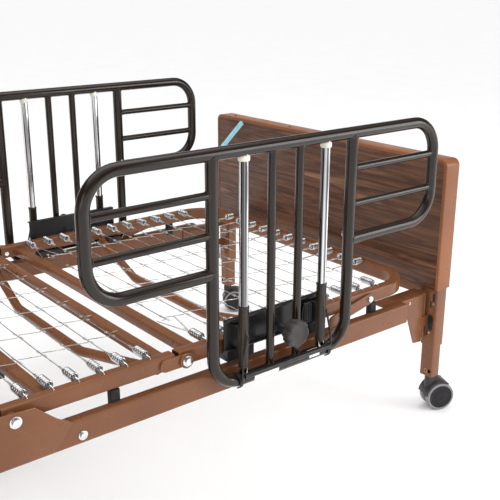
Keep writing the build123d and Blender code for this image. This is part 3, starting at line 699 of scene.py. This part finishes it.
def end_posts(end, name):
    """The outer leg posts with their hook slots, black sheets behind the slots that paint the shade inside
    them, bright metal studs that paint the glints on the pressed tabs, and the rail between them.
    """
    node = f"{name}_end_posts"
    low, high = span(node)
    base = span(f"{name}_end_band")[0].z
    width, depth = 43.9, 38.0
    posts, crosswise = Shape(), Shape()
    for side in SIDES:
        run = [Vector((end * POST_X, side * POST_Y, z)) for z in (low.z, high.z)]
        rectangular_tube(posts, run, (width, depth), 2.0, 4.0, X)
    rail = [Vector((end * POST_X, y, base - 15)) for y in (-412, 412)]
    rectangular_tube(crosswise, densify(rail, 120), (24, 30), 2.0, 3.5, Z)
    crosswise.piece(f"{name}_end_cross_rail", "bed_paint", "bed_frame", "bed_paint")
    made = posts.piece(f"{name}_end_posts_tubes", "bed_paint", "bed_frame", "bed_paint", (node,))
    inner_face = end * (POST_X - depth / 2)
    cutter, slot_shade_sheets, studs = Shape(), Shape(), Shape()
    for side in SIDES:
        for slot_inner, slot_outer, slot_low, slot_high, corner in HOOK_SLOTS:
            cutter.slot_x(inner_face - end * 3, inner_face + end * 3.2, side * slot_inner, side * slot_outer,
                          slot_low, slot_high, corner)
        # Black sheets just behind the slots paint the shade seen through them.
        back = inner_face + end * 2.05
        slot_shade_sheets.block((back, side * 414.4, 196), (back + end * 0.45, side * 453, 336), 0.2, 1)
        # The studs are drawn in the bright bronze metal, which paints the glints on the pressed tabs.
        for y, z in ((446.5, 303), (438.5, 222)):
            dome = [(3.6, 0), (3.4, 0.9), (2.0, 1.5), (0.2, 1.7)]
            studs.lathe(dome, Vector((inner_face, side * y, z)), X * -end, 20)
    cut(made, cutter)
    slot_shade_sheets.piece(f"{name}_leg_slot_shade_sheets", "black_plastic", "bed_frame", "black_plastic")
    studs.piece(f"{name}_post_studs", "glinting_bronze", "bed_frame", "bed_paint")


def cut(thing, cutter):
    """Takes the cutter's volume out of a piece and applies the result."""
    mesh = cutter.mesh("cutter")
    tool = bpy.data.objects.new("cutter", mesh)
    bpy.context.scene.collection.objects.link(tool)
    modifier = thing.modifiers.new("cut", "BOOLEAN")
    modifier.operation = "DIFFERENCE"
    modifier.solver = "EXACT"
    modifier.object = tool
    bpy.context.view_layer.update()
    graph = bpy.context.evaluated_depsgraph_get()
    result = bpy.data.meshes.new_from_object(thing.evaluated_get(graph))
    thing.modifiers.clear()
    thing.data = result
    result.set_sharp_from_angle(angle=radians(38))
    bpy.data.objects.remove(tool)
    bpy.data.meshes.remove(mesh)


def legs(end, name):
    """The inner telescoping legs with their cross tube, and the lock holes near the caster."""
    node = f"{name}_leg_frame"
    low, high = span(node)
    width, depth = 38.7, 32.8
    shape = Shape()
    for side in SIDES:
        run = [Vector((end * POST_X, side * POST_Y, z)) for z in (low.z, high.z)]
        rectangular_tube(shape, run, (width, depth), 2.0, 4.0, X)
        centre = Vector((end * POST_X, side * POST_Y, low.z + 2))
        shape.block(centre - Vector((14, 17, 1)), centre + Vector((14, 17, 2)), 1.0)
    cross_z = 610.0
    run = [Vector((end * POST_X, y, cross_z)) for y in (-415, 415)]
    rectangular_tube(shape, run, (24, 36), 2.0, 3.0, Z)
    made = shape.piece(f"{name}_leg_tubes", "bed_paint", f"{name}_legs", "bed_paint", (node,))
    cutter, rims = Shape(), Shape()
    hole_z = low.z + 15
    face = end * (POST_X - depth / 2)
    for side in SIDES:
        for y, radius in ((POST_Y + 1.0, 3.2), (POST_Y + 11.5, 5.6)):
            cutter.lathe([(radius, -30), (radius, 30)], Vector((end * POST_X, side * y, hole_z)), X, 24)
        ring = [(3.1, 0.9), (3.1, -0.5), (3.6, -1.0), (4.8, -1.0), (5.4, -0.4), (5.4, 0.3), (3.9, 0.6)]
        rims.lathe(ring, Vector((face, side * (POST_Y + 1.0), hole_z)), X * end, 28, closed=True)
    cut(made, cutter)
    # The eyelets are drawn in the bright bronze metal, which paints a glint round each lock hole.
    rims.piece(f"{name}_leg_eyelets", "glinting_bronze", f"{name}_legs", "bed_paint")


# ---------------------------------------------------------------- casters
def caster(end, side, name):
    """A hooded twin-wheel caster, built trailing along X and turned to the swivel that the frame has."""
    fork_node, wheel_node = f"{name}_caster_fork", f"{name}_caster_wheel"
    low, high = span(wheel_node)
    hub_centre = (low + high) / 2
    radius = (high.z - low.z) / 2
    top = span(fork_node)[1].z
    stem = Vector((end * POST_X, side * CASTER_Y, 0))
    trail = hub_centre - stem
    trail.z = 0
    swivel = Matrix.Rotation(atan2(trail.y, trail.x), 3, "Z")
    centre = Vector((trail.length, 0, radius))

    def finish(shape, *words):
        shape.points = [stem + swivel @ p for p in shape.points]
        return shape.piece(*words)

    hood = Shape()
    arc = [centre + Vector((cos(radians(a)), 0, sin(radians(a)))) * (radius + 2.6) for a in range(58, 175, 5)]
    hood.sweep(arc, rounded(2.4, 47, 1.1, 3), up=Y)
    for way in SIDES:
        rim = [p + Y * way * 22.6 for p in arc]
        hood.sweep(rim, rounded(3.6, 2.6, 1.2, 3), up=Y)
    disc = [(31, -5.4), (33.5, -4.6), (34, -3), (34, 3), (33.5, 4.6), (31, 5.4)]
    hood.lathe(disc, centre, Y, 48)
    hood.block((-11, -5.4, 56), (centre.x, 5.4, 80), 3.0, 3)
    hood.lathe([(8.5, 60), (12.6, 66), (13, 70), (13, 90), (12.2, 93), (12.2, 95), (10, 96.4), (6, 96.5)],
               Vector((0, 0, 0)), Z, 32)
    finish(hood, f"{name}_caster_hood", "caster_plastic", f"{name}_fork", "caster_plastic", (fork_node,))
    pins = Shape()
    pins.lathe([(5.4, 90), (5.4, top - 1.5), (4.2, top)], Vector((0, 0, 0)), Z, 24)
    pins.lathe([(4, -23.2), (4, 23.2)], centre, Y, 24)
    finish(pins, f"{name}_caster_stem", "zinc_steel", f"{name}_fork", "zinc_steel")

    tyre, hub = Shape(), Shape()
    for way in SIDES:
        tread = [(31.5, 24.6), (33.0, 25.8), (35.6, 25.6), (37.3, 24.2), (38, 21.6), (38, 12), (37.6, 9.4),
                 (36.2, 7.8), (33.5, 7.2), (30.5, 7.6)]
        tyre.lathe(tread, centre, Y * way, 56, closed=True)
        face = [(0.2, 8.2), (31.8, 8.6), (31.8, 24.4), (31.2, 25.2), (29.8, 25.0), (29.0, 24.2), (12.5, 23.7),
                (11.5, 24.3), (9.2, 24.5), (8.2, 24.0), (2.6, 24.0), (2.0, 24.6), (0.2, 24.8)]
        hub.lathe(face, centre, Y * way, 48)
    finish(tyre, f"{name}_caster_tyres", "caster_tyre", f"{name}_wheel", "caster_tyre", (wheel_node,))
    finish(hub, f"{name}_caster_hubs", "caster_hub", f"{name}_wheel", "caster_plastic")


# ---------------------------------------------------------------- deck sections
TUBE = (25.0, 32.0)
TUBE_WALL = 1.6
TUBE_CORNER = 4.0
HOOP_CORNER = 88
TUBE_Y = 424.5
TUBE_Z = 376.0
HINGE_Z = 374.0
HEAD_HINGE, THIGH_HINGE, KNEE_HINGE = -258.5, -58.5, 307.5
CROSS_LOW, CROSS_HIGH = 360.5, 382.5
LINK_LOWER, LINK_UPPER = (715.5, 350), (833.5, 375)


def hoop(shape, end, start_x, end_x):
    """A section's end: two side tubes joined across the bed's end through two wide corners."""
    last = end_x - end * TUBE[0] / 2
    plan = ((start_x, -TUBE_Y), (last, -TUBE_Y), (last, TUBE_Y), (start_x, TUBE_Y))
    path = bent([(x, y, TUBE_Z) for x, y in plan], HOOP_CORNER, 14)
    rectangular_tube(shape, densify(path, 90), TUBE, TUBE_WALL, TUBE_CORNER, Z)


def straight_tubes(shape, start_x, finish_x):
    for side in SIDES:
        run = [Vector((x, side * TUBE_Y, TUBE_Z)) for x in (start_x, finish_x)]
        rectangular_tube(shape, densify(run, 90), TUBE, TUBE_WALL, TUBE_CORNER, Z)


def crossing(shape, x):
    run = [Vector((x, y, (CROSS_LOW + CROSS_HIGH) / 2)) for y in (-412.2, 412.2)]
    rectangular_tube(shape, densify(run, 110), (25, CROSS_HIGH - CROSS_LOW), 2.0, 3.0, Z)


def bow(shape, x, reach):
    """The low round tube that hangs under a section, with its rounded knees."""
    points = [(x + reach, -407, 354), (x, -160, 315), (x, 160, 315), (x + reach, 407, 354)]
    shape.sweep(densify(bent(points, 110, 10), 60), circle(11, 24), circle(9.4, 24))


def ears(shape, x_from, x_pivot, inner, outer, radius=13):
    for side in SIDES:
        shape.plate(stadium(x_from, HINGE_Z, x_pivot, HINGE_Z, radius), side * inner, side * outer)


def washer_boss(shape, x, z, inner, outer, radius):
    for side in SIDES:
        depth = outer - inner
        shape.lathe([(radius - 1, 0), (radius, 0.8), (radius, depth - 0.8), (radius - 0.8, depth)],
                    Vector((x, side * inner, z)), Y * side, 36)


def deck_frames():
    head = Shape()
    hoop(head, -1, HEAD_HINGE - 24, -1010)
    crossing(head, -300)
    crossing(head, -640)
    ears(head, HEAD_HINGE - 57, HEAD_HINGE, 406, 411.7)
    head.piece("head_section_tubes", "bed_paint", "head_section", "bed_paint", ("head_frame",))
    seat = Shape()
    straight_tubes(seat, HEAD_HINGE - 14, THIGH_HINGE - 24)
    crossing(seat, -212)
    crossing(seat, -100)
    for side in SIDES:
        seat.block((-200, side * 432.2, 335), (-110, side * 451.8, 345), 1.0)
        seat.block((-200, side * 425, 344), (-110, side * 451.8, 360.3), 1.0)
    seat.piece("seat_section_tubes", "bed_paint", "bed_frame", "bed_paint", ("seat_frame",))
    thigh = Shape()
    straight_tubes(thigh, THIGH_HINGE - 14, KNEE_HINGE - 24)
    crossing(thigh, 21.5)
    crossing(thigh, 268)
    bow(thigh, 222, 40)
    ears(thigh, KNEE_HINGE - 47, KNEE_HINGE, 437, 442)
    washer_boss(thigh, KNEE_HINGE, HINGE_Z, 442, 446.8, 16)
    thigh.piece("thigh_section_tubes", "bed_paint", "thigh_section", "bed_paint", ("thigh_frame",))
    foot = Shape()
    hoop(foot, 1, KNEE_HINGE - 14, 1010)
    crossing(foot, 345)
    bow(foot, 560, 40)
    washer_boss(foot, *LINK_UPPER, 436.6, 439.4, 9)
    foot.piece("foot_section_tubes", "bed_paint", "foot_section", "bed_paint", ("foot_frame",))


def bolts():
    frame_set, knee_set = Shape(), Shape()
    for side in SIDES:
        outward = Y * side
        for x in (HEAD_HINGE, THIGH_HINGE):
            frame_set.lathe([(5.9, 0), (5.9, 52)], Vector((x, side * 409, HINGE_Z)), outward, 24)
            hex_head(frame_set, (x, side * 460.0, HINGE_Z), outward, 8.6, 6.4, 11.5)
        knee_set.lathe([(5.9, 0), (5.9, 39)], Vector((KNEE_HINGE, side * 408.5, HINGE_Z)), outward, 24)
        hex_head(knee_set, (KNEE_HINGE, side * 447, HINGE_Z), outward, 8.6, 6.2, 11.5)
        low, high = span("rail_joint_sleeves")
        joint_x = (low.x + high.x) / 2
        hex_head(frame_set, (joint_x, side * 456.9, 302), outward, 7.4, 5.2, 9.5)
    frame_set.piece("frame_pivot_bolts", "zinc_steel", "bed_frame", "zinc_steel", ("frame_bolts",), 30)
    knee_set.piece("knee_pivot_bolts", "zinc_steel", "thigh_section", "zinc_steel", ("knee_hinge_bolts",), 30)


def link_pieces():
    links, caps = Shape(), Shape()
    for side in SIDES:
        links.plate(stadium(*LINK_LOWER, *LINK_UPPER, 12.5), side * 440, side * 445)
        dome = [(8, 0), (8, 2.2), (7, 3.8), (4.2, 4.8), (0.2, 5)]
        caps.lathe(dome, Vector((LINK_UPPER[0], side * 445, LINK_UPPER[1])), Y * side, 28)
    links.piece("foot_link_bars", "bed_paint", "links", "bed_paint", ("foot_links",))
    caps.piece("foot_link_rivets", "zinc_steel", "links", "zinc_steel")


# ---------------------------------------------------------------- springs and wire fabric
SPRING_LOW, SPRING_HIGH, SPRING_TIP = 368.0, 411.5, 428.0
SPRING_Z = 394.0
COIL_WIRE = 1.25
COIL_RADIUS = 7.9
FABRIC_Z = 391.0
FABRIC_WIRE = circle(0.95, 6)
ROWS = (54.0, 162.0, 271.0)
PITCH = 51.0
END_SPRING_X, END_PITCH = 953, 54.0


def spring(shape, start, axis, length, tip):
    """A close-wound tension spring: eye at its inner end, coil, and a hook that drops into the frame."""
    axis = Vector(axis)
    side = axis.cross(Z)
    coil_start, coil_end = 7.0, length - 3.5
    turns, steps = 13, 12
    path = []
    for k in range(17):
        angle = 2 * pi * k / 16 - pi / 2
        path.append(start + axis * (1.0 + 3.6 * sin(angle)) + Z * (3.6 * cos(angle) - 1.0) + side * 0.25 * k)
    for k in range(turns * steps + 1):
        t = k / (turns * steps)
        angle = 2 * pi * turns * t + pi / 2
        along = coil_start + (coil_end - coil_start) * t
        path.append(start + axis * along + around(side, Z, angle) * COIL_RADIUS)
    reach = tip - 1.5
    hook = ((coil_end + 2.0, 4.0), (coil_end + 4.5, 1.2), (reach - 4.0, 1.2), (reach - 0.6, 0.2),
            (reach, -4.5))
    path.extend(start + axis * along + Z * lift for along, lift in hook)
    shape.sweep(path, circle(COIL_WIRE, 6))


def knot(shape, centre, along, length=24.0, turns=3.0):
    """A wire twisted round the strand."""
    along = Vector(along).normalized()
    side = along.cross(Z).normalized()
    count = int(turns * 9)
    path = []
    for k in range(count + 1):
        t = k / count
        angle = 2 * pi * turns * t
        path.append(centre + along * (t - 0.5) * length + around(side, Z, angle) * 1.9)
    shape.sweep(path, circle(0.8, 5))


def strand(shape, x, spread=0.0):
    """One wire across the deck, kinked at each row, with a twist at both sides of each crossing."""
    tips = SPRING_LOW + 1.0
    last_row = ROWS[-1]
    points = [Vector((x, -last_row - 6, FABRIC_Z))]
    for y in [-r for r in reversed(ROWS)] + list(ROWS):
        points.append(Vector((x + 1.2, y - 7, FABRIC_Z - 0.6)))
        points.append(Vector((x - 1.2, y + 7, FABRIC_Z + 0.6)))
    points.append(Vector((x, last_row + 6, FABRIC_Z)))
    shape.sweep(points, FABRIC_WIRE)
    for side in SIDES:
        for offset in ((-spread, spread) if spread else (0.0,)):
            start = Vector((x + offset, side * (last_row + 4), FABRIC_Z))
            finish = Vector((x, side * tips, FABRIC_Z + 1.0))
            shape.sweep([start, start.lerp(finish, 0.5), finish], FABRIC_WIRE)
        knot(shape, Vector((x, side * (tips - 13), FABRIC_Z + 0.8)), Y, 20, 3.5)
        for y in ROWS:
            knot(shape, Vector((x + 1.0, side * y - 13, FABRIC_Z)), Y, 11, 2.0)
            knot(shape, Vector((x - 1.0, side * y + 13, FABRIC_Z)), Y, 11, 2.0)


def rows(shape, places, low_x, high_x):
    """The long wires: each link leaves one knot and rises slightly across to the next."""
    places = sorted(places)
    for side in SIDES:
        for row in ROWS:
            y = side * row
            path = [Vector((low_x, y - 6, FABRIC_Z))]
            for x in places:
                for along, across, dip in ((-4, -6, 1.2), (0, -1, 2.2), (4, 6, 1.2)):
                    path.append(Vector((x + along, y + across, FABRIC_Z - dip)))
            path.append(Vector((high_x, y + 6, FABRIC_Z)))
            shape.sweep(path, FABRIC_WIRE)


def end_links(shape, last, way):
    """Wires from the last strand out to the springs at the bed's end."""
    for k in range(-5, 6):
        y = END_PITCH * k
        start = Vector((way * (END_SPRING_X - 4), y, FABRIC_Z + 1))
        near = Vector((last, y, FABRIC_Z))
        shape.sweep([near, near.lerp(start, 0.6), start], FABRIC_WIRE)
        knot(shape, start - X * way * 10, X, 16, 3)


def deck_wires():
    head = [-345.0 - PITCH * k for k in range(11)]
    seat = [-97.0 - PITCH * k for k in range(3)]
    thigh = [-20.5 + PITCH * k for k in range(6)]
    foot = [370.0 + PITCH * k for k in range(11)]
    groups = (
        ("head", "head_section", head),
        ("seat", "bed_frame", seat),
        ("thigh", "thigh_section", thigh),
        ("foot", "foot_section", foot),
    )
    for name, body, places in groups:
        coils, wires = Shape(), Shape()
        low, high = span(f"{name}_wire_fabric")
        for x in places:
            for side in SIDES:
                spring(coils, Vector((x, side * SPRING_LOW, SPRING_Z)), Y * side, SPRING_HIGH - SPRING_LOW,
                       SPRING_TIP - SPRING_LOW)
            strand(wires, x, 22.0 if name == "foot" and x == places[0] else 0.0)
        rows(wires, places, low.x, high.x)
        if name in ("head", "foot"):
            way = 1 if name == "foot" else -1
            for k in range(-5, 6):
                spring(coils, Vector((way * END_SPRING_X, END_PITCH * k, SPRING_Z)), X * way, 31.0, 47.0)
            last = max(places) if way > 0 else min(places)
            end_links(wires, last, way)
        coils.piece(f"{name}_coil_springs", "zinc_steel", body, "zinc_steel", (f"{name}_springs",), 60)
        fabric = f"{name}_wire_fabric"
        wires.piece(f"{name}_linked_wires", "galvanised_wire", body, "zinc_steel", (fabric,), 60)


# ---------------------------------------------------------------- half rails
GUARD_X = 530.5
GUARD_Y = 479.0
GUARD_TUBE = 12.7
GUARD_TOP, GUARD_BOTTOM, GUARD_WING = 788.0, 313.0, 555.0
GUARD_HALF, GUARD_POST = 451.0, 184.0
GUARD_BARS = (712.0, 633.0)
SPINDLE = 36.5
SLIDER = 107.5


def guard(side):
    name = word(side)
    y = side * GUARD_Y
    left, right = GUARD_X - GUARD_HALF, GUARD_X + GUARD_HALF
    low_left, low_right = GUARD_X - GUARD_POST, GUARD_X + GUARD_POST
    shape = Shape()
    loop = [(low_left, y, GUARD_WING), (left, y, GUARD_WING), (left, y, GUARD_TOP), (right, y, GUARD_TOP),
            (right, y, GUARD_WING), (low_right, y, GUARD_WING)]
    shape.sweep(densify(bent(loop, 70, 12), 60), circle(GUARD_TUBE, 32))
    drop = [(low_left, y, GUARD_TOP - 3), (low_left, y, GUARD_BOTTOM), (low_right, y, GUARD_BOTTOM),
            (low_right, y, GUARD_TOP - 3)]
    shape.sweep(densify(bent(drop, 66, 12), 60), circle(GUARD_TUBE, 32))
    for z in GUARD_BARS:
        for start, finish in ((left, low_left), (low_right, right)):
            shape.sweep([Vector((x, y, z)) for x in (start, (start + finish) / 2, finish)], circle(8, 24))
            saddle(shape, (start, y, z), X, 8, Z, GUARD_TUBE)
            saddle(shape, (finish, y, z), -X, 8, Z, GUARD_TUBE)
    for way in SIDES:
        x = GUARD_X + way * SPINDLE
        shape.sweep([Vector((x, y, z)) for z in (GUARD_BOTTOM, 550, GUARD_TOP)], circle(8.9, 26))
        saddle(shape, (x, y, GUARD_BOTTOM), Z, 8.9, X, GUARD_TUBE)
        saddle(shape, (x, y, GUARD_TOP), -Z, 8.9, X, GUARD_TUBE)
        x = GUARD_X + way * GUARD_POST
        saddle(shape, (x, y, GUARD_TOP), -Z, GUARD_TUBE - 0.4, X, GUARD_TUBE, 2.0)
        saddle(shape, (x, y, GUARD_WING), X * way, GUARD_TUBE - 0.4, Z, GUARD_TUBE, 2.0)
    shape.piece(f"{name}_guard_tubes", "bronze_powder_coat", f"{name}_guard", "bronze_powder_coat",
                (f"{name}_guard_frame",), 50)

    posts, bushes, bolts_set = Shape(), Shape(), Shape()
    for way in SIDES:
        x = GUARD_X + way * SLIDER
        rod = [(9.3, GUARD_BOTTOM + 1), (9.48, GUARD_BOTTOM + 2), (9.48, GUARD_TOP - 2), (9.3, GUARD_TOP - 1)]
        posts.lathe(rod, Vector((x, y, 0)), Z, 40)
        top = GUARD_TOP - GUARD_TUBE
        bushes.lathe([(9.6, top - 9), (11.4, top - 8), (11.8, top - 6), (11.8, top + 1), (9.6, top + 3)],
                     Vector((x, y, 0)), Z, 32)
    nodes = (f"{name}_guard_posts",)
    posts.piece(f"{name}_bright_posts", "chrome_posts", f"{name}_guard", "chrome_posts", nodes, 50)
    bushes.piece(f"{name}_post_bushings", "cream_bushing", f"{name}_guard", "grey_plastic")
    inward = -Y * side
    hex_head(bolts_set, (low_right, y - side * (GUARD_TUBE - 0.6), 565), inward, 5.4, 4.2, 7.5)
    bolts_set.piece(f"{name}_guard_bolt", "zinc_steel", f"{name}_guard", "zinc_steel", (), 30)


def guide(side):
    """The two tubes that guide a half rail's bright posts, each with a rolled rim."""
    shape = Shape()
    low, high = span("guide_tubes")
    for way in SIDES:
        x = GUARD_X + way * SLIDER
        profile = [(9.9, low.z), (11, low.z + 0.6), (11, high.z - 5), (11.7, high.z - 4.4),
                   (11.7, high.z - 0.8), (11.1, high.z), (9.8, high.z), (9.7, high.z - 1), (9.7, low.z + 1)]
        shape.lathe(profile, Vector((x, side * GUARD_Y, 0)), Z, 40, closed=True)
    nodes = ("guide_tubes",) if side < 0 else ()
    shape.piece(f"{word(side)}_guide_tubes", "guide_paint", "foot_section", "guide_paint", nodes, 50)


def release(side):
    """Clips round the bottom tube, latch wires, and the faintly ribbed grip rod."""
    name = word(side)
    y = side * GUARD_Y
    clip, rod_out, rod_up, rod_half = 15.4, 19, 14, 119
    metal, grip = Shape(), Shape()
    for way in SIDES:
        x = GUARD_X + way * 123.5
        arc = []
        for k in range(19):
            angle = radians(-75 + 215 * k / 18)
            arc.append(Vector((x, y + side * clip * cos(angle), GUARD_BOTTOM + clip * sin(angle))))
        metal.sweep(arc, rounded(2.6, 9, 1.1, 3), up=X)
        foot = Vector((x, y + side * 15.5, GUARD_BOTTOM + 2))
        post = [foot, Vector((x, y + side * rod_out, GUARD_BOTTOM + rod_up))]
        metal.sweep(post, rounded(6, 8, 2.2, 3), up=X)
        wire = [(x, y + side * 18, GUARD_BOTTOM + 12), (x - way * 1, y + side * 17.5, GUARD_BOTTOM + 46),
                (x - way * 8, y + side * 16.5, GUARD_BOTTOM + 74), (x - way * 14, y + side * 15.5, 414)]
        metal.sweep(bent(wire, 30, 6), circle(2.4, 12))
    nodes = (f"{name}_release_bail",)
    metal.piece(f"{name}_release_clips", "black_steel", f"{name}_release", "black_steel", nodes, 45)
    count = 132
    rings = []
    for k in range(count + 1):
        x = GUARD_X - rod_half + 2 * rod_half * k / count
        ring = []
        for j in range(20):
            angle = 2 * pi * j / 20
            radius = 5.7 + 0.12 * cos(6 * angle + x * 0.2)
            across, upward = radius * cos(angle), radius * sin(angle)
            ring.append(Vector((x, y + side * rod_out + across, GUARD_BOTTOM + rod_up + upward)))
        rings.append(ring)
    grip.rings(rings)
    grip.piece(f"{name}_release_grip", "black_steel", f"{name}_release", "black_steel", (), 60)


def knob(side):
    name = word(side)
    low, high = span(f"{name}_clamp_knob")
    x, z = (low.x + high.x) / 2, (low.z + high.z) / 2
    inner = 497.0
    star = Shape()
    rings = []
    # Distance along the knob's axis, and how far the lobed outline has drawn in there.
    profile = ((0, 5.0), (0.8, 3.6), (4, 2.6), (10, 1.0), (17, 0.2), (22, 0.0), (24.5, 0.7), (26.2, 2.2),
               (26.9, 4.4), (26.9, 7.5), (26.0, 8.3), (25.8, 20.0), (25.8, 29.8))
    for along, shrink in profile:
        ring = []
        for k in range(96):
            angle = 2 * pi * k / 96
            lobe = 4.4 * abs(cos(4 * angle + 0.3)) ** 0.55 if shrink < 7 else 4.0
            radius = max(0.05, 25.6 + lobe - shrink)
            ring.append(Vector((x + radius * cos(angle), side * (inner + along), z + radius * sin(angle))))
        rings.append(ring)
    star.rings(rings)
    star.lathe([(11, -6), (12, -5), (13, 0), (14, 2)], Vector((x, side * inner, z)), Y * side, 32)
    nodes = (f"{name}_clamp_knob",)
    star.piece(f"{name}_knob_head", "grey_plastic", f"{name}_knob", "grey_plastic", nodes, 50)
    screw = Shape()
    thread = [(4.9 if k % 2 else 4.3, 454 + k * 1.6) for k in range(23)]
    screw.lathe(thread, Vector((x, 0, z)), Y * side, 24)
    screw.piece(f"{name}_knob_screw", "black_steel", f"{name}_knob", "black_steel")


def latches():
    """The upright ribbed blocks beside the guide tubes, each with a pull loop."""
    shape, loops = Shape(), Shape()
    low, high = span("latch_blocks")
    for side in SIDES:
        shape.block((low.x, side * 460.2, low.z), (high.x, side * 467, high.z), 1.6, 3)
        for k in range(4):
            x = low.x + 2.6 + k * 5.3
            shape.block((x - 1.4, side * 466, low.z + 2), (x + 1.4, side * 469.6, high.z - 2), 1.2, 3)
        arc = []
        for k in range(13):
            angle = pi * k / 12
            height = (low.z + high.z) / 2 + 17 * cos(angle)
            arc.append(Vector((low.x - 1 - 4.5 * sin(angle), side * 466.5, height)))
        loops.sweep(arc, circle(1.1, 8))
    shape.piece("ribbed_latch_blocks", "black_plastic", "foot_section", "black_plastic", ("latch_blocks",))
    loops.piece("latch_pull_loops", "black_steel", "foot_section", "black_steel")


# ---------------------------------------------------------------- labels and small trim
def labels():
    """Two blank stickers on the bottom tube of the right half rail."""
    sticker = Shape()
    radius = GUARD_TUBE + 0.25
    centre = Vector((0, -GUARD_Y, GUARD_BOTTOM))
    for low_x, high_x, start in ((443.0, 509.0, -35), (596.0, 626.0, -10)):
        rings = []
        for k in range(13):
            angle = radians(start + 80 * k / 12)
            out = Vector((0, -cos(angle), sin(angle)))
            profile = ((low_x, 0), (low_x + 0.3, 0.2), (high_x - 0.3, 0.2), (high_x, 0), (high_x, -0.4),
                       (low_x, -0.4))
            rings.append([centre + out * (radius + lift) + X * x for x, lift in profile])
        sticker.rings(rings)
    sticker.piece("blank_rail_sticker", "label_film", "right_guard", "grey_plastic")


def hook_rivets():
    """The rivet at the upper inner corner of each hook plate."""
    rivets = Shape()
    for end in SIDES:
        for side in SIDES:
            place = Vector((end * 995.4, side * 431.9, 319))
            rivets.lathe([(5.5, 0), (5.5, 0.6), (4.4, 2.0), (2.2, 2.8), (0.2, 3.0)], place, Y * side, 24)
    # The rivets are drawn in the bright bronze metal, which paints a glint on each.
    rivets.piece("hook_plate_rivets", "glinting_bronze", "bed_frame", "bed_paint")


def tape_strip():
    """A blank strip of pale film stuck slantwise on the foot panel's inner face."""
    strip = Shape()
    x = span("foot_end_boards")[0].x - 0.35
    start, finish = Vector((x, 436, 572)), Vector((x, 331, 668))
    path = [start, start.lerp(finish, 0.5), finish]
    strip.sweep(path, rounded(0.4, 17, 0.15, 2), up=X.cross(finish - start))
    strip.piece("blank_film_strip", "pale_tape", "bed_frame", "grey_plastic")


def remaining_nodes():
    """Every other CAD node keeps its shape: the listed ones have their sharp edges eased, and the rest that
    still show take their finish.
    """
    record = frame["record"]
    slots = {part["node"]: part["material_slot"] for part in record["subparts"]}
    homes = {}
    for body, nodes in record["behaviour"]["bodies"].items():
        for node in nodes:
            homes[node] = body
    eased = {
        "corner_hooks": 1.0,
        "pivot_gussets": 0.8,
        "link_brackets": 0.7,
        "deck_bumpers": 1.5,
        "guard_brackets": 0.7,
        "control_box": 3.0,
        "base_members": 1.5,
        "lift_gearmotors": 2.0,
        "head_actuator": 2.0,
        "knee_actuator": 2.0,
        "head_actuator_rod": 1.0,
        "knee_actuator_rod": 1.0,
        "head_lift_arm": 0.8,
        "knee_lift_arm": 0.8,
    }
    for node, thing in frame["nodes"].items():
        if node in eased:
            softened(node, slots[node], homes[node], eased[node])
        elif not thing.hide_render and not node.endswith("_end_boards"):
            thing.data.materials.clear()
            thing.data.materials.append(finishes[slots[node]])


finishes = all_materials()
camera()
studio()
side_rails()
for end, name in ((1, "foot"), (-1, "head")):
    end_band(name)
    end_posts(end, name)
    legs(end, name)
    for side in SIDES:
        caster(end, side, f"{name}_{word(side)}")
deck_frames()
bolts()
link_pieces()
deck_wires()
for side in SIDES:
    guard(side)
    guide(side)
    release(side)
    knob(side)
latches()
labels()
hook_rivets()
tape_strip()
remaining_nodes()
